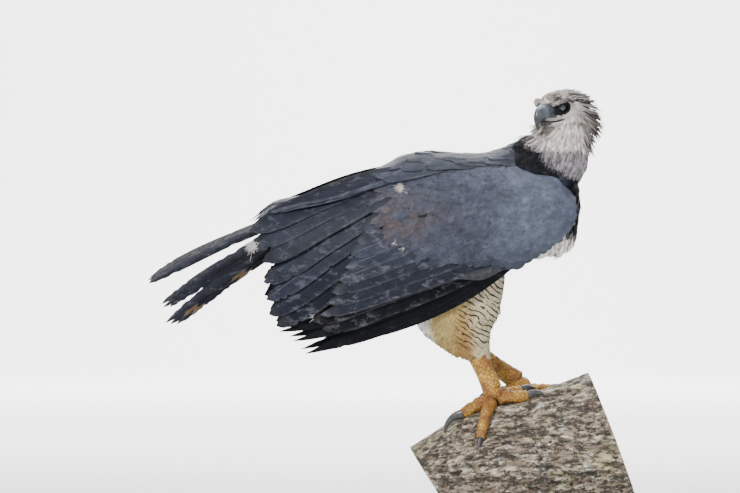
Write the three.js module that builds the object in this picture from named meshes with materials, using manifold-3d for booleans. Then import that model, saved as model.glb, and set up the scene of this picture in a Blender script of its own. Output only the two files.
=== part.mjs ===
// A harpy eagle at life size, as a museum would mount it: the bird stands on a cut length of
// bough, body level, wings folded, tail drooping behind, head turned back over its right shoulder.
// Millimetres. +X is the way the breast points, +Y the bird's left, +Z up. Sizes of the bird are
// written from the point where the right foot meets the crest of the bough.
import * as THREE from 'three';
import { mergeVertices } from 'three/addons/utils/BufferGeometryUtils.js';
import Module from 'manifold-3d';

const wasm = await Module();
wasm.setup();

// Driving dimensions
const GAP = 0.3;              // clearance between neighbouring pieces
const HALF_GAP = GAP / 2;
const SEED = 7;               // for the small irregularities of feathers and bark

// The trunk, by its length along X: upper and lower outline and half width
const TRUNK_REAR = -300;
const TRUNK_FRONT = 180;
const BACK_LINE = [[-300, 424], [-250, 443], [-180, 473], [-100, 488], [0, 489], [80, 494],
  [130, 490], [160, 470], [174, 440], [180, 400]];
const BELLY_LINE = [[-300, 386], [-250, 360], [-180, 322], [-100, 296], [0, 288], [60, 286],
  [130, 294], [158, 308], [174, 336], [180, 365]];
const TRUNK_HALF_WIDTH = [[-300, 22], [-250, 42], [-180, 64], [-100, 84], [0, 92], [80, 88],
  [130, 74], [160, 54], [174, 34], [180, 12]];
const CHEST_CUT_X = 30;       // where chest and belly part
const RUMP_CUT_X = -190;      // where belly and rump part

// The neck, a column that leans back a little under the head
const NECK_PATH = [[60, 0, 420], [98, 0, 470], [132, 0, 512], [146, -4, 556]];
const NECK_BACK = [70, 73, 62, 42];
const NECK_FRONT = [80, 84, 73, 42];
const NECK_SIDE = [84, 76, 62, 44];
const NECK_CUT = { point: [128, 0, 464], lean: 20 };   // plane between neck and chest, degrees from level
const HEAD_CUT = { point: [146, 0, 514], lean: 6 };  // plane between neck and head

// The head, in its own frame: +x along the bill, +z up, origin between the eyes
const HEAD_PLACE = { at: [126, -28, 581], turn: -125, nod: 6 };
const HEAD_TOP = [[-84, 4], [-72, 20], [-52, 33], [-28, 40], [-4, 39], [14, 36], [30, 29], [44, 17]];
const HEAD_BOTTOM = [[-84, -16], [-72, -38], [-52, -46], [-28, -44], [-4, -37], [14, -31], [30, -26], [44, -20]];
const HEAD_HALF_WIDTH = [[-84, 8], [-72, 26], [-52, 36], [-28, 38], [-4, 34], [14, 29], [30, 21.5], [44, 14]];
const EYE = { x: 8, y: 21.5, z: 9, radius: 11.5 };
const CREST_COUNT = 9;        // long feathers on each side of the nape
const CREST_LENGTH = 62;

// The folded wing, seen from the side: upper and lower edge, and how far it stands out from the midline
const WING_FRONT = 168;
const WING_TOP = [[-484, 332], [-400, 380], [-300, 432], [-200, 474], [-100, 496], [0, 494],
  [80, 478], [140, 446], [168, 404]];
const WING_BOTTOM = [[-484, 270], [-430, 150], [-370, 96], [-330, 102], [-210, 134], [-140, 154],
  [-62, 190], [-16, 212], [20, 244], [60, 274], [107, 304], [146, 338], [168, 372]];
const WING_REACH = [[-484, 76], [-400, 85], [-300, 92], [-200, 103], [-100, 114], [0, 117],
  [80, 110], [140, 90], [168, 62]];
const WING_TOP_ROUND = [[-484, 0.22], [-400, 0.42], [-300, 0.58], [-200, 0.66], [-100, 0.76], [80, 0.78]];  // how far the top curls in
const WING_EDGE_ROUND = 0.2;  // how far the lower edge curls in
const WING_BELT = 0.45;       // height of the widest line, as a share of the wing's depth
const FAR_WING_LIFT = 2.3;    // degrees that the left wing sits higher at the tail end
const ARM_REAR = -225;        // where the fleshy part of the wing ends under the coverts
const ARM_THICK = 26;
const ARM_PROUD = 8;          // how far the front of the wing stands over the layer of the quills

// The tail, from its root
const TAIL = { root: [-285, 0, 398], droop: 20, bend: 14, roll: 34, length: 425, count: 12, spread: 12, cleft: 3.6, width: 50 };

// Legs and feet; toe numbers are the anatomist's, 1 is the hind toe
const LEGS = {
  right: {
    side: -1,
    thigh: [[-58, -38, 300], [-62, -40, 250], [-64, -42, 200], [-56, -44, 154], [-41, -46, 116], [-23, -48, 84]],
    heel: [-29, -48, 102], ball: [5, -52, 22],
    toes: { 1: 176, 2: 32, 3: -2, 4: -112 },
  },
  left: {
    side: 1,
    thigh: [[-62, 38, 300], [-66, 40, 250], [-68, 42, 204], [-60, 43, 160], [-46, 43, 124], [-32, 42, 94]],
    heel: [-32, 42, 98], ball: [62, 44, 37],
    toes: { 1: 214, 2: 20, 3: 56, 4: 100 },
  },
};
const THIGH_FORE_AFT = [96, 95, 86, 63, 39, 24];
const THIGH_ACROSS = [34, 34, 34, 33, 29, 21];
const TARSUS = { foreAft: 18.5, across: 16, scutes: 5 };
const TOE = {                 // length, thickness at root and end, claw length and claw root
  1: { length: 50, root: 14, end: 11.5, claw: 72, clawRoot: 10, scutes: 3 },
  2: { length: 56, root: 13.5, end: 11, claw: 54, clawRoot: 8.5, scutes: 4 },
  3: { length: 60, root: 13, end: 10.5, claw: 44, clawRoot: 7.5, scutes: 6 },
  4: { length: 60, root: 12.5, end: 10, claw: 36, clawRoot: 7, scutes: 4 },
};

// The bough and the stand
const BOUGH = { radius: 138, crest: [[-160, -92], [-82, -42], [-20, -5], [60, 13], [138, 36], [196, 58]] };
const STAND = { centreX: -40, length: 400, width: 280, height: 20, corner: 30, rodRadius: 10,
  clearance: 55, rodsX: [-70, 70] };

const v3 = (x, y, z) => new THREE.Vector3(x, y, z);
const mix = THREE.MathUtils.lerp;
const rad = THREE.MathUtils.degToRad;
const step = THREE.MathUtils.smoothstep;

// A repeatable stream of numbers from -1 to 1.
function draws(seed) {
  let state = seed * 7919 + 17;
  return () => {
    state = (state * 1103515245 + 12345) % 2147483648;
    return state / 1073741824 - 1;
  };
}

// Height of a smooth line through [station, value] pairs, level past both ends.
function lineAt(pairs, x) {
  const last = pairs.length - 1;
  if (x <= pairs[0][0]) return pairs[0][1];
  if (x >= pairs[last][0]) return pairs[last][1];
  const i = pairs.findIndex((p, k) => x <= pairs[k + 1][0]);
  const slope = (k) => {
    const a = pairs[Math.max(k - 1, 0)];
    const b = pairs[Math.min(k + 1, last)];
    return (b[1] - a[1]) / (b[0] - a[0]);
  };
  const width = pairs[i + 1][0] - pairs[i][0];
  const t = (x - pairs[i][0]) / width;
  const t2 = t * t;
  const t3 = t2 * t;
  return (2 * t3 - 3 * t2 + 1) * pairs[i][1] + (t3 - 2 * t2 + t) * width * slope(i)
    + (3 * t2 - 2 * t3) * pairs[i + 1][1] + (t3 - t2) * width * slope(i + 1);
}

// The same for evenly spaced values, by t from 0 to 1.
const listAt = (values, t) => lineAt(values.map((v, i) => [i / (values.length - 1), v]), t);

// A closed body from rings of points, each ring with the same count. Faces past half way round a
// ring are split the other way, so that the two faces of a thin vane have matching triangles.
function skinOf(rings) {
  const sides = rings[0].length;
  const position = rings.flat().flatMap((p) => [p.x, p.y, p.z]);
  const index = [];
  for (let i = 0; i < rings.length - 1; i++) {
    for (let k = 0; k < sides; k++) {
      const a = i * sides + k;
      const b = i * sides + (k + 1) % sides;
      const c = b + sides;
      const d = a + sides;
      if (k < sides / 2) index.push(a, b, c, a, c, d);
      else index.push(a, b, d, b, c, d);
    }
  }
  for (const [ring, turned] of [[0, true], [rings.length - 1, false]]) {
    const first = ring * sides;
    for (let k = 1; k < sides / 2; k++) {
      const [l, m, n, o] = [k - 1, k, sides - 1 - k, sides - k].map((j) => first + j);
      const faces = m === n ? [[l, m, o]] : [[l, m, n], [l, n, o]];
      for (const [p, q, r] of faces) index.push(...(turned ? [p, r, q] : [p, q, r]));
    }
  }
  const geometry = new THREE.BufferGeometry();
  geometry.setAttribute('position', new THREE.Float32BufferAttribute(position, 3));
  geometry.setIndex(index);
  return geometry;
}

// A manifold solid from a closed geometry, with its faces turned outwards.
function solid(geometry) {
  const plain = geometry.index ? geometry.toNonIndexed() : geometry.clone();
  plain.deleteAttribute('normal');
  plain.deleteAttribute('uv');
  const merged = mergeVertices(plain, 1e-4);
  const make = (triVerts) => new wasm.Manifold(new wasm.Mesh({
    numProp: 3, vertProperties: merged.attributes.position.array, triVerts,
  }));
  const made = make(new Uint32Array(merged.index.array));
  return made.volume() > 0 ? made : make(new Uint32Array(merged.index.array).reverse());
}

const union = (solids) => wasm.Manifold.union(solids);

// The largest closed body of a solid, without the loose scraps that a cut can leave.
function largest(body) {
  return body.decompose().sort((a, b) => b.volume() - a.volume())[0];
}

function geometryOf(body) {
  const mesh = largest(body.simplify(0.12)).getMesh();
  const geometry = new THREE.BufferGeometry();
  geometry.setAttribute('position', new THREE.Float32BufferAttribute(mesh.vertProperties, 3));
  geometry.setIndex(new THREE.BufferAttribute(mesh.triVerts, 1));
  geometry.computeVertexNormals();
  return geometry;
}

// A body with an oval section carried along a path. size(t) gives back, front and side radii;
// back is the side that path x across points to.
function limb({ path, size, across = v3(0, 1, 0), stops, sides, grow = 0 }) {
  const rings = stops.map((t, i) => {
    const along = path.getTangent(t);
    const beyond = (i === 0 ? -grow : 0) + (i === stops.length - 1 ? grow : 0);
    const centre = path.getPoint(t).addScaledVector(along, beyond);
    const side = across.clone().addScaledVector(along, -across.dot(along)).normalize();
    const back = along.clone().cross(side);
    const s = size(t);
    return Array.from({ length: sides }, (_, k) => {
      const angle = 2 * Math.PI * k / sides;
      const c = Math.cos(angle);
      return centre.clone().addScaledVector(back, c * ((c > 0 ? s.back : s.front) + grow))
        .addScaledVector(side, Math.sin(angle) * (s.side + grow));
    });
  });
  return skinOf(rings);
}

const evenly = (count) => Array.from({ length: count + 1 }, (_, i) => i / count);
const spline = (points) => new THREE.CatmullRomCurve3(points.map((p) => v3(...p)), false, 'centripetal');

// A body that lies along X between an upper and a lower line, with rounded ends.
function bodyBetween({ from, to, top, bottom, half, count, sides, grow = 0, square = 1 }) {
  const rings = evenly(count).map((f) => {
    const x = mix(from, to, (1 - Math.cos(Math.PI * f)) / 2);
    const high = lineAt(top, x) + grow;
    const low = lineAt(bottom, x) - grow;
    const wide = lineAt(half, x) + grow;
    return Array.from({ length: sides }, (_, k) => {
      const angle = 2 * Math.PI * (k + 0.5) / sides;
      const c = Math.cos(angle);
      const s = Math.sin(angle);
      const bulge = Math.pow(Math.abs(s), square) * Math.sign(s);
      return v3(x, wide * bulge, (high + low) / 2 + (high - low) / 2 * c);
    });
  });
  rings[0].forEach((p) => { p.x -= grow; });
  rings[count].forEach((p) => { p.x += grow; });
  return skinOf(rings);
}

// Outline of a feather: half width as a share of the widest, by t from quill to tip.
function vaneWidth(t, quill, roundFrom) {
  const blade = mix(quill, 1, step(t, 0, 0.36));
  if (t <= roundFrom) return blade;
  const past = (t - roundFrom) / (1 - roundFrom);
  return blade * Math.sqrt(Math.max(0.02, 1 - past * past * 0.98));
}

// One feather: a thin blade along points of its shaft. tilt turns the blade about its shaft so that
// it lies over its neighbour like a roof tile; a tilt below zero lifts its lower edge.
function vane({ shaft, normals, stops, half, thick, tilt = 0, quill = 0.3, roundFrom = 0.8 }) {
  const last = stops.length - 1;
  const rings = stops.map((t, i) => {
    const along = shaft[Math.min(i + 1, last)].clone().sub(shaft[Math.max(i - 1, 0)]).normalize();
    const across = along.clone().cross(normals[i]).normalize();
    const up = across.clone().cross(along).normalize();
    const tipped = across.clone().multiplyScalar(Math.cos(tilt)).addScaledVector(up, Math.sin(tilt));
    const upright = up.clone().multiplyScalar(Math.cos(tilt)).addScaledVector(across, -Math.sin(tilt));
    const w = half * vaneWidth(t, quill, roundFrom);
    const edge = thick * (i === last ? 0.3 : 0.5);
    return [[-1, 1], [1, 1], [1, -1], [-1, -1]].map(([c, face]) => shaft[i].clone()
      .addScaledVector(tipped, c * w).addScaledVector(upright, face * edge));
  });
  return solid(skinOf(rings));
}

const VANE_STOPS = [0, 0.3, 0.72, 0.93, 1];
const COVERT_STOPS = [0, 0.4, 0.8, 0.94, 1];
const CREST_STOPS = [0, 0.4, 0.78, 1];

// The wing's surface in the side view: distance out from the midline at x, z.
function wingOut(x, z) {
  const top = lineAt(WING_TOP, x);
  const bottom = lineAt(WING_BOTTOM, x);
  const belt = mix(bottom, top, WING_BELT);
  const reach = lineAt(WING_REACH, x);
  if (z > belt) {
    const q = Math.min(1.25, (z - belt) / (top - belt));
    return reach * (1 - lineAt(WING_TOP_ROUND, x) * Math.pow(q, 2.4));
  }
  const q = Math.min(1.25, (belt - z) / (belt - bottom));
  return reach * (1 - WING_EDGE_ROUND * q * q);
}

function wingNormal(x, z) {
  const d = 4;
  const dx = (wingOut(x + d, z) - wingOut(x - d, z)) / (2 * d);
  const dz = (wingOut(x, z + d) - wingOut(x, z - d)) / (2 * d);
  return v3(-dx, -1, -dz).normalize();
}

// A point of the right wing, lifted off its surface along the outward normal.
function wingPoint(x, z, lift) {
  return v3(x, -wingOut(x, z), z).addScaledVector(wingNormal(x, z), lift);
}

// A row of overlapping feathers on the right wing. Roots and tips run along two lines in the side view.
function wingTier({ count, roots, tips, half, lift, deepen = 0, tilt, stops, thick, sag, seed }) {
  const rootLine = new THREE.SplineCurve(roots.map(([x, z]) => new THREE.Vector2(x, z)));
  const tipLine = new THREE.SplineCurve(tips.map(([x, z]) => new THREE.Vector2(x, z)));
  const draw = draws(seed);
  return Array.from({ length: count }, (_, i) => {
    const f = i / (count - 1);
    const root = rootLine.getPoint(f);
    const tip = tipLine.getPoint(f);
    tip.x += draw() * 5;
    const shaft = [];
    const normals = [];
    for (const t of stops) {
      const bow = sag * Math.sin(Math.PI * t);
      const x = mix(root.x, tip.x, t);
      const z = mix(root.y, tip.y, t) + bow;
      const height = lift - deepen * i - 5 * (1 - step(t, 0, 0.22));
      shaft.push(wingPoint(x, z, height));
      normals.push(wingNormal(x, z));
    }
    const wide = half * (1 + draw() * 0.05);
    return vane({ shaft, normals, stops, half: wide, thick, tilt });
  });
}

const WING_TIERS = [
  {
    name: 'secondaries', count: 11, half: 30, lift: 0, tilt: rad(-5), stops: VANE_STOPS, thick: 0.8, sag: 8,
    roots: [[-150, 452], [-112, 400], [-56, 340], [-10, 292]],
    tips: [[-486, 306], [-478, 268], [-452, 226], [-438, 190], [-424, 152]],
  },
  {
    name: 'primaries', count: 6, half: 20, lift: -4, deepen: 1.7, tilt: 0, stops: VANE_STOPS, thick: 0.9, sag: -20,
    roots: [[-20, 270], [30, 276], [68, 290]],
    tips: [[-424, 146], [-398, 124], [-372, 98], [-334, 104]],
  },
  {
    name: 'greater coverts', count: 8, half: 26, lift: 5.4, tilt: rad(-4), stops: COVERT_STOPS, thick: 0.8, sag: 5,
    roots: [[-60, 464], [-10, 414], [20, 350], [70, 308]],
    tips: [[-280, 402], [-318, 352], [-290, 304], [-236, 244], [-150, 196]],
  },
  {
    name: 'median coverts', count: 7, half: 25, lift: 10, tilt: rad(-4), stops: COVERT_STOPS, thick: 0.8, sag: 4,
    roots: [[20, 466], [60, 412], [84, 356], [112, 326]],
    tips: [[-196, 452], [-224, 396], [-206, 336], [-136, 284], [-20, 252]],
  },
];

// The fleshy front of the wing, under and ahead of the coverts.
function wingArm() {
  const around = 6;
  const count = 8;
  const rings = evenly(count).map((f) => {
    const x = mix(WING_FRONT, ARM_REAR, Math.pow(f, 1.35));
    const thin = step(x, ARM_REAR, 40);
    const high = lineAt(WING_TOP, x) - 2;
    const low = mix(lineAt(WING_BOTTOM, x) + 4, lineAt(WING_BOTTOM, x) + 110, step(-x, -90, 225));
    const outer = [];
    const inner = [];
    for (let k = 0; k <= around; k++) {
      const z = mix(high, low, k / around);
      const rim = Math.sin(Math.PI * k / around);
      const proud = mix(-2.5, ARM_PROUD, thin) * mix(0.35, 1, Math.sqrt(rim));
      const deep = mix(9, ARM_THICK, thin) * mix(0.45, 1, Math.sqrt(rim));
      outer.push(wingPoint(x, z, proud));
      inner.push(wingPoint(x, z, proud - deep));
    }
    return [...outer, ...inner.reverse()];
  });
  return solid(skinOf(rings));
}

function trunk(grow) {
  return solid(bodyBetween({ from: TRUNK_REAR, to: TRUNK_FRONT, top: BACK_LINE, bottom: BELLY_LINE,
    half: TRUNK_HALF_WIDTH, count: 16, sides: 18, grow }));
}

function neckColumn(grow) {
  return solid(limb({
    path: spline(NECK_PATH),
    size: (t) => ({ back: listAt(NECK_BACK, t), front: listAt(NECK_FRONT, t), side: listAt(NECK_SIDE, t) }),
    stops: evenly(7), sides: 16, grow,
  }));
}

function thighOf(leg, grow) {
  return solid(limb({
    path: spline(leg.thigh),
    size: (t) => ({ back: listAt(THIGH_FORE_AFT, t), front: listAt(THIGH_FORE_AFT, t),
      side: listAt(THIGH_ACROSS, t) }),
    stops: evenly(8), sides: 14, grow,
  }));
}

// Crest of the bough, and the bark's height above it as an even tube would have it.
const boughPath = () => spline(BOUGH.crest.map(([x, z], i, all) => {
  const [x0, z0] = all[Math.max(i - 1, 0)];
  const [x1, z1] = all[Math.min(i + 1, all.length - 1)];
  const slope = Math.atan2(z1 - z0, x1 - x0);
  return [x + BOUGH.radius * Math.sin(slope), 0, z - BOUGH.radius * Math.cos(slope)];
}));

// Depth of the bark's ridges and hollows round the bough, small where the feet stand.
function barkRelief(angle, t) {
  const away = 1 - 0.85 * Math.exp(-Math.pow(angle / 0.75, 2));
  return away * (4 * Math.sin(5 * angle + 3 * t) + 3 * Math.sin(9 * angle - 5 * t + 1)
    + 2.5 * Math.sin(17 * angle + 9 * t)) + 3 * away * Math.sin(7 * t);
}

function bough(grow) {
  const path = boughPath();
  const sides = 28;
  const rings = evenly(8).map((t) => {
    const centre = path.getPoint(t);
    const along = path.getTangent(t);
    const side = v3(0, 1, 0);
    const up = along.clone().cross(side);
    return Array.from({ length: sides }, (_, k) => {
      const angle = 2 * Math.PI * k / sides;
      const signed = angle > Math.PI ? angle - 2 * Math.PI : angle;
      const r = BOUGH.radius + barkRelief(signed, t) + grow;
      return centre.clone().addScaledVector(up, r * Math.cos(angle)).addScaledVector(side, r * Math.sin(angle));
    });
  });
  return solid(skinOf(rings));
}

// Height of the crest of the bough's surface over a point on the ground plan.
function barkHeight(x, y) {
  const path = boughPath();
  let best = null;
  for (const t of evenly(60)) {
    const centre = path.getPoint(t);
    const along = path.getTangent(t);
    const slope = Math.atan2(along.z, along.x);
    const top = Math.sqrt(Math.max(0, BOUGH.radius ** 2 - y * y));
    const px = centre.x - top * Math.sin(slope);
    const pz = centre.z + top * Math.cos(slope);
    if (!best || Math.abs(px - x) < Math.abs(best.px - x)) best = { px, pz, slope };
  }
  return best.pz + (x - best.px) * Math.tan(best.slope);
}

function place(body, matrix) {
  return body.transform(matrix.elements);
}

const headMatrix = () => new THREE.Matrix4().makeTranslation(...HEAD_PLACE.at)
  .multiply(new THREE.Matrix4().makeRotationZ(rad(HEAD_PLACE.turn)))
  .multiply(new THREE.Matrix4().makeRotationY(rad(HEAD_PLACE.nod)));

// Skull with its small feathers, brow, lids and the line of the mouth, in the head's frame.
function skull() {
  return solid(bodyBetween({ from: -84, to: 44, top: HEAD_TOP, bottom: HEAD_BOTTOM,
    half: HEAD_HALF_WIDTH, count: 11, sides: 16, square: 0.9 }));
}

function ball(radius, at, wide = 14, high = 8, stretch = [1, 1, 1]) {
  const g = new THREE.SphereGeometry(radius, wide, high);
  g.scale(...stretch);
  g.translate(...at);
  return solid(g);
}

function brow(side) {
  const path = spline([[-16, side * 32, 18], [-4, side * 33, 21.5], [10, side * 31, 22.5], [22, side * 26, 20], [32, side * 19.5, 15]]);
  return solid(limb({ path, size: (t) => ({ back: 5 - 2 * t, front: 4, side: 6.5 - 2.5 * t }), stops: evenly(5), sides: 8 }));
}

function lid(side) {
  const ring = new THREE.TorusGeometry(9.2, 2.1, 4, 12);
  ring.scale(1.12, 0.86, 1);
  ring.rotateX(rad(90));
  ring.rotateZ(side * rad(-14));
  ring.translate(EYE.x + 1, side * (EYE.y + 6.9), EYE.z);
  return solid(ring);
}

// One long feather of the crest or nape, from a point on the skull.
function crestFeather({ root, way, length, half, curl }) {
  const stops = CREST_STOPS;
  const out = v3(0, root.y * 0.8, Math.max(root.z, -10)).normalize();
  const dir = v3(...way).normalize();
  const shaft = stops.map((t) => root.clone().addScaledVector(dir, length * (t - 0.16))
    .addScaledVector(out, curl * length * t * t - 2.5));
  return vane({ shaft, normals: stops.map(() => out), stops, half, thick: 0.9, roundFrom: 0.5, quill: 0.5 });
}

function crest() {
  const draw = draws(SEED);
  const made = [];
  for (const side of [-1, 1]) {
    for (let i = 0; i < CREST_COUNT; i++) {
      const f = i / (CREST_COUNT - 1);
      const angle = mix(0.1, 2.5, f) + draw() * 0.05;
      const x = mix(-40, -66, Math.sin(Math.PI * Math.min(1, f * 1.3) * 0.8)) + draw() * 8;
      const wide = lineAt(HEAD_HALF_WIDTH, x);
      const high = (lineAt(HEAD_TOP, x) - lineAt(HEAD_BOTTOM, x)) / 2;
      const mid = (lineAt(HEAD_TOP, x) + lineAt(HEAD_BOTTOM, x)) / 2;
      const root = v3(x, side * wide * Math.sin(angle) * 0.97, mid + high * Math.cos(angle) * 0.97);
      made.push(crestFeather({
        root, way: [-1, side * 0.12 * Math.sin(angle), mix(-0.3, -1.15, f * f) + draw() * 0.12],
        length: CREST_LENGTH * (1 - 0.12 * f + 0.12 * draw()), half: mix(9.5, 8, f), curl: mix(0.1, 0.2, f),
      }));
    }
  }
  return made;
}

function mouthCut(side) {
  const path = spline([[2, side * 28, -17], [20, side * 22, -19.5], [36, side * 16, -18.5], [48, side * 12, -17]]);
  return solid(limb({ path, size: () => ({ back: 0.9, front: 0.9, side: 5 }), stops: evenly(5), sides: 6 }));
}

// The bill: a horn hooked over its tip, carried along a bent path.
const HOOK = spline([[28, 0, -1], [38, 0, -1], [49, 0, -3], [57.5, 0, -10.5], [61, 0, -20], [59.5, 0, -33]]);
function upperBill(grow) {
  const back = [19, 17, 15.5, 11.5, 6.5, 0.8];
  const front = [15, 14, 11.5, 8.5, 5, 0.8];
  const side = [14.5, 13, 11, 8, 4.6, 0.8];
  return solid(limb({
    path: HOOK, size: (t) => ({ back: listAt(back, t), front: listAt(front, t), side: listAt(side, t) }),
    stops: evenly(10), sides: 12, grow,
  }));
}

function lowerBill(grow) {
  const path = spline([[14, 0, -21], [28, 0, -22], [40, 0, -22], [50, 0, -20]]);
  return solid(limb({
    path, size: (t) => ({ back: listAt([5, 5, 4.5, 2], t), front: listAt([8, 7.5, 6.5, 2.5], t),
      side: listAt([15, 13.5, 10, 4.5], t) }),
    stops: evenly(5), sides: 10, grow,
  }));
}

// A slab cut: the parts of a body above and below a plane, half a gap away from it each.
function partAt(body, normal, point) {
  const n = v3(...normal).normalize();
  const offset = n.dot(v3(...point));
  const above = body.trimByPlane([n.x, n.y, n.z], offset + HALF_GAP);
  const below = body.trimByPlane([-n.x, -n.y, -n.z], -offset + HALF_GAP);
  return [largest(above), largest(below)];
}

const leanNormal = (lean) => [Math.sin(rad(lean)), 0, Math.cos(rad(lean))];

function headParts() {
  const sockets = union([-1, 1].map((s) => ball(EYE.radius + GAP, [EYE.x, s * EYE.y, EYE.z], 14, 9)));
  const lower = lowerBill(0);
  const [horn, cereWhole] = partAt(upperBill(0), [1, 0, 0.12], [40, 0, 0]);
  const cere = largest(cereWhole.trimByPlane([1, 0, 0], 29));
  const nostrils = union([-1, 1].map((s) => ball(2.6, [36, s * 14.5, 3], 10, 8)));
  const jaw = largest(lower.trimByPlane([1, 0, 0], 30 + GAP));
  const grownCere = upperBill(GAP).trimByPlane([1, 0, 0], 29 - GAP);
  const grownJaw = lowerBill(GAP).trimByPlane([1, 0, 0], 30);
  let head = union([skull(), brow(-1), brow(1), lid(-1), lid(1), ...crest()]);
  head = head.subtract(sockets).subtract(grownCere).subtract(grownJaw)
    .subtract(mouthCut(-1)).subtract(mouthCut(1));
  return {
    head: largest(head),
    cere: largest(cere.subtract(nostrils)),
    bill_upper: horn,
    bill_lower: largest(jaw.subtract(grownCere)),
    eye_right: ball(EYE.radius, [EYE.x, -EYE.y, EYE.z], 14, 9),
    eye_left: ball(EYE.radius, [EYE.x, EYE.y, EYE.z], 14, 9),
  };
}

// Tail: a short fleshy root and two half fans of long feathers, rolled so that its right edge hangs lower.
function tailFrame(t) {
  const angle = rad(TAIL.droop + TAIL.bend * t);
  const along = v3(-Math.cos(angle), 0, -Math.sin(angle));
  const up = v3(-Math.sin(angle), 0, Math.cos(angle));
  const roll = rad(TAIL.roll) * step(t, -0.1, 0.3);
  const left = v3(0, 1, 0);
  return {
    along,
    left: left.clone().multiplyScalar(Math.cos(roll)).addScaledVector(up, Math.sin(roll)),
    up: up.clone().multiplyScalar(Math.cos(roll)).addScaledVector(left, -Math.sin(roll)),
  };
}

function tailPoint(along, across, lift) {
  const steps = 12;
  const p = v3(...TAIL.root);
  const t = along / TAIL.length;
  for (let i = 0; i < steps; i++) p.addScaledVector(tailFrame(t * (i + 0.5) / steps).along, along / steps);
  const f = tailFrame(t);
  return p.addScaledVector(f.left, across).addScaledVector(f.up, lift);
}

function tailVane({ fan, offset, length, half, lift, stops, sink }) {
  const shaft = stops.map((t) => {
    const along = mix(-8, length, t);
    return tailPoint(along, offset + Math.sin(fan) * along, lift - sink * (1 - step(t, 0, 0.2)));
  });
  const normals = stops.map((t) => tailFrame(mix(0, length / TAIL.length, t)).up);
  return vane({ shaft, normals, stops, half, thick: 0.9, roundFrom: 0.88 });
}

function tail() {
  const draw = draws(SEED + 3);
  const root = solid(limb({
    path: spline([[-248, 0, 404], [-285, 0, 396], [-330, 0, 378], [-368, 0, 356]]),
    size: (t) => ({ back: listAt([34, 27, 15, 3], t), front: listAt([38, 30, 17, 3], t), side: listAt([42, 36, 26, 12], t) }),
    stops: evenly(6), sides: 14,
  }));
  const made = [root];
  for (let i = 0; i < TAIL.count; i++) {
    const f = i / (TAIL.count - 1);
    const side = f * 2 - 1;
    const split = Math.sign(side) * TAIL.cleft;
    made.push(tailVane({
      fan: rad(side * TAIL.spread / 2 + split), offset: side * 17, length: TAIL.length * (1 - 0.05 * side * side + 0.012 * draw()),
      half: TAIL.width / 2, lift: 5 - 1.7 * Math.abs(i - (TAIL.count - 1) / 2), stops: VANE_STOPS, sink: 3,
    }));
  }
  for (const [lift, reach, count] of [[11, 150, 4], [-12, 165, 3]]) {
    for (let i = 0; i < count; i++) {
      const side = (i / (count - 1)) * 2 - 1;
      made.push(tailVane({
        fan: rad(side * 7), offset: side * 20, length: reach * (1 - 0.12 * Math.abs(side)), half: 21,
        lift: lift - Math.sign(lift) * Math.abs(side) * 4, stops: COVERT_STOPS, sink: Math.sign(lift) * 5,
      }));
    }
  }
  return union(made);
}

// Scaly shin: each plate stands a little proud of the next.
function plated(count) {
  const stops = [0];
  for (let i = 0; i < count; i++) stops.push((i + 0.12) / count, (i + 0.9) / count);
  stops.push(1);
  return stops;
}

function plateRise(t, count) {
  const inPlate = (t * count) % 1;
  return inPlate > 0.05 && inPlate < 0.95 ? 1 - 0.45 * (inPlate - 0.1) : 0;
}

function tarsusOf(leg) {
  const path = spline([leg.heel, leg.heel.map((v, i) => mix(v, leg.ball[i], 0.5)), leg.ball]);
  return solid(limb({
    path,
    size: (t) => {
      const flare = 1 + 0.16 * Math.pow(Math.abs(2 * t - 1), 2);
      return { back: TARSUS.foreAft * flare, front: TARSUS.foreAft * flare + 1.4 * plateRise(t, TARSUS.scutes),
        side: TARSUS.across * flare };
    },
    stops: plated(TARSUS.scutes), sides: 12,
  }));
}

// A toe that lies along the bark, arched at its joints; returns the toe and its claw.
function toeOf(leg, number) {
  const size = TOE[number];
  const heading = rad(leg.toes[number]);
  const ground = (d) => {
    const x = leg.ball[0] + Math.cos(heading) * d;
    const y = leg.ball[1] + Math.sin(heading) * d;
    return v3(x, y, barkHeight(x, y));
  };
  const stops = [0, 0.3, 0.6, 0.85, 1];
  const points = stops.map((t) => {
    const p = ground(10 + size.length * t);
    p.z += mix(size.root, size.end, t) + 1.5 * Math.sin(Math.PI * 2 * t) * (1 - t) - 0.8;
    return [p.x, p.y, p.z];
  });
  const path = spline(points);
  const across = v3(-Math.sin(heading), Math.cos(heading), 0);
  const toe = solid(limb({
    path, across,
    size: (t) => {
      const r = mix(size.root, size.end, t) * (1 + 0.06 * Math.cos(Math.PI * 6 * t));
      return { back: r + 1.1 * plateRise(t, size.scutes), front: r, side: r * 0.94 };
    },
    stops: plated(size.scutes), sides: 8,
  }));
  // The claw leaves the toe a little upwards and bends down to the bark in one even arc.
  const start = path.getPoint(1);
  const along = path.getTangent(1);
  const up = along.clone().cross(across);
  const radius = size.claw / 1.7;
  const first = rad(26);
  const last = -Math.acos(Math.cos(first) - (size.end + 1) / radius);
  const clawPath = new THREE.CatmullRomCurve3(evenly(5).map((t) => {
    const angle = mix(first, last, t);
    return start.clone().addScaledVector(along, radius * (Math.sin(first) - Math.sin(angle)))
      .addScaledVector(up, radius * (Math.cos(angle) - Math.cos(first)));
  }), false, 'centripetal');
  const claw = solid(limb({
    path: clawPath, across,
    size: (t) => {
      const r = size.clawRoot * Math.pow(1 - t, 0.7) + 0.4;
      return { back: r, front: r, side: r * 0.82 };
    },
    stops: evenly(6), sides: 8,
  }));
  const clawFace = along.dot(start) + GAP;
  return { toe, claw: claw.trimByPlane([along.x, along.y, along.z], clawFace) };
}

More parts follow.
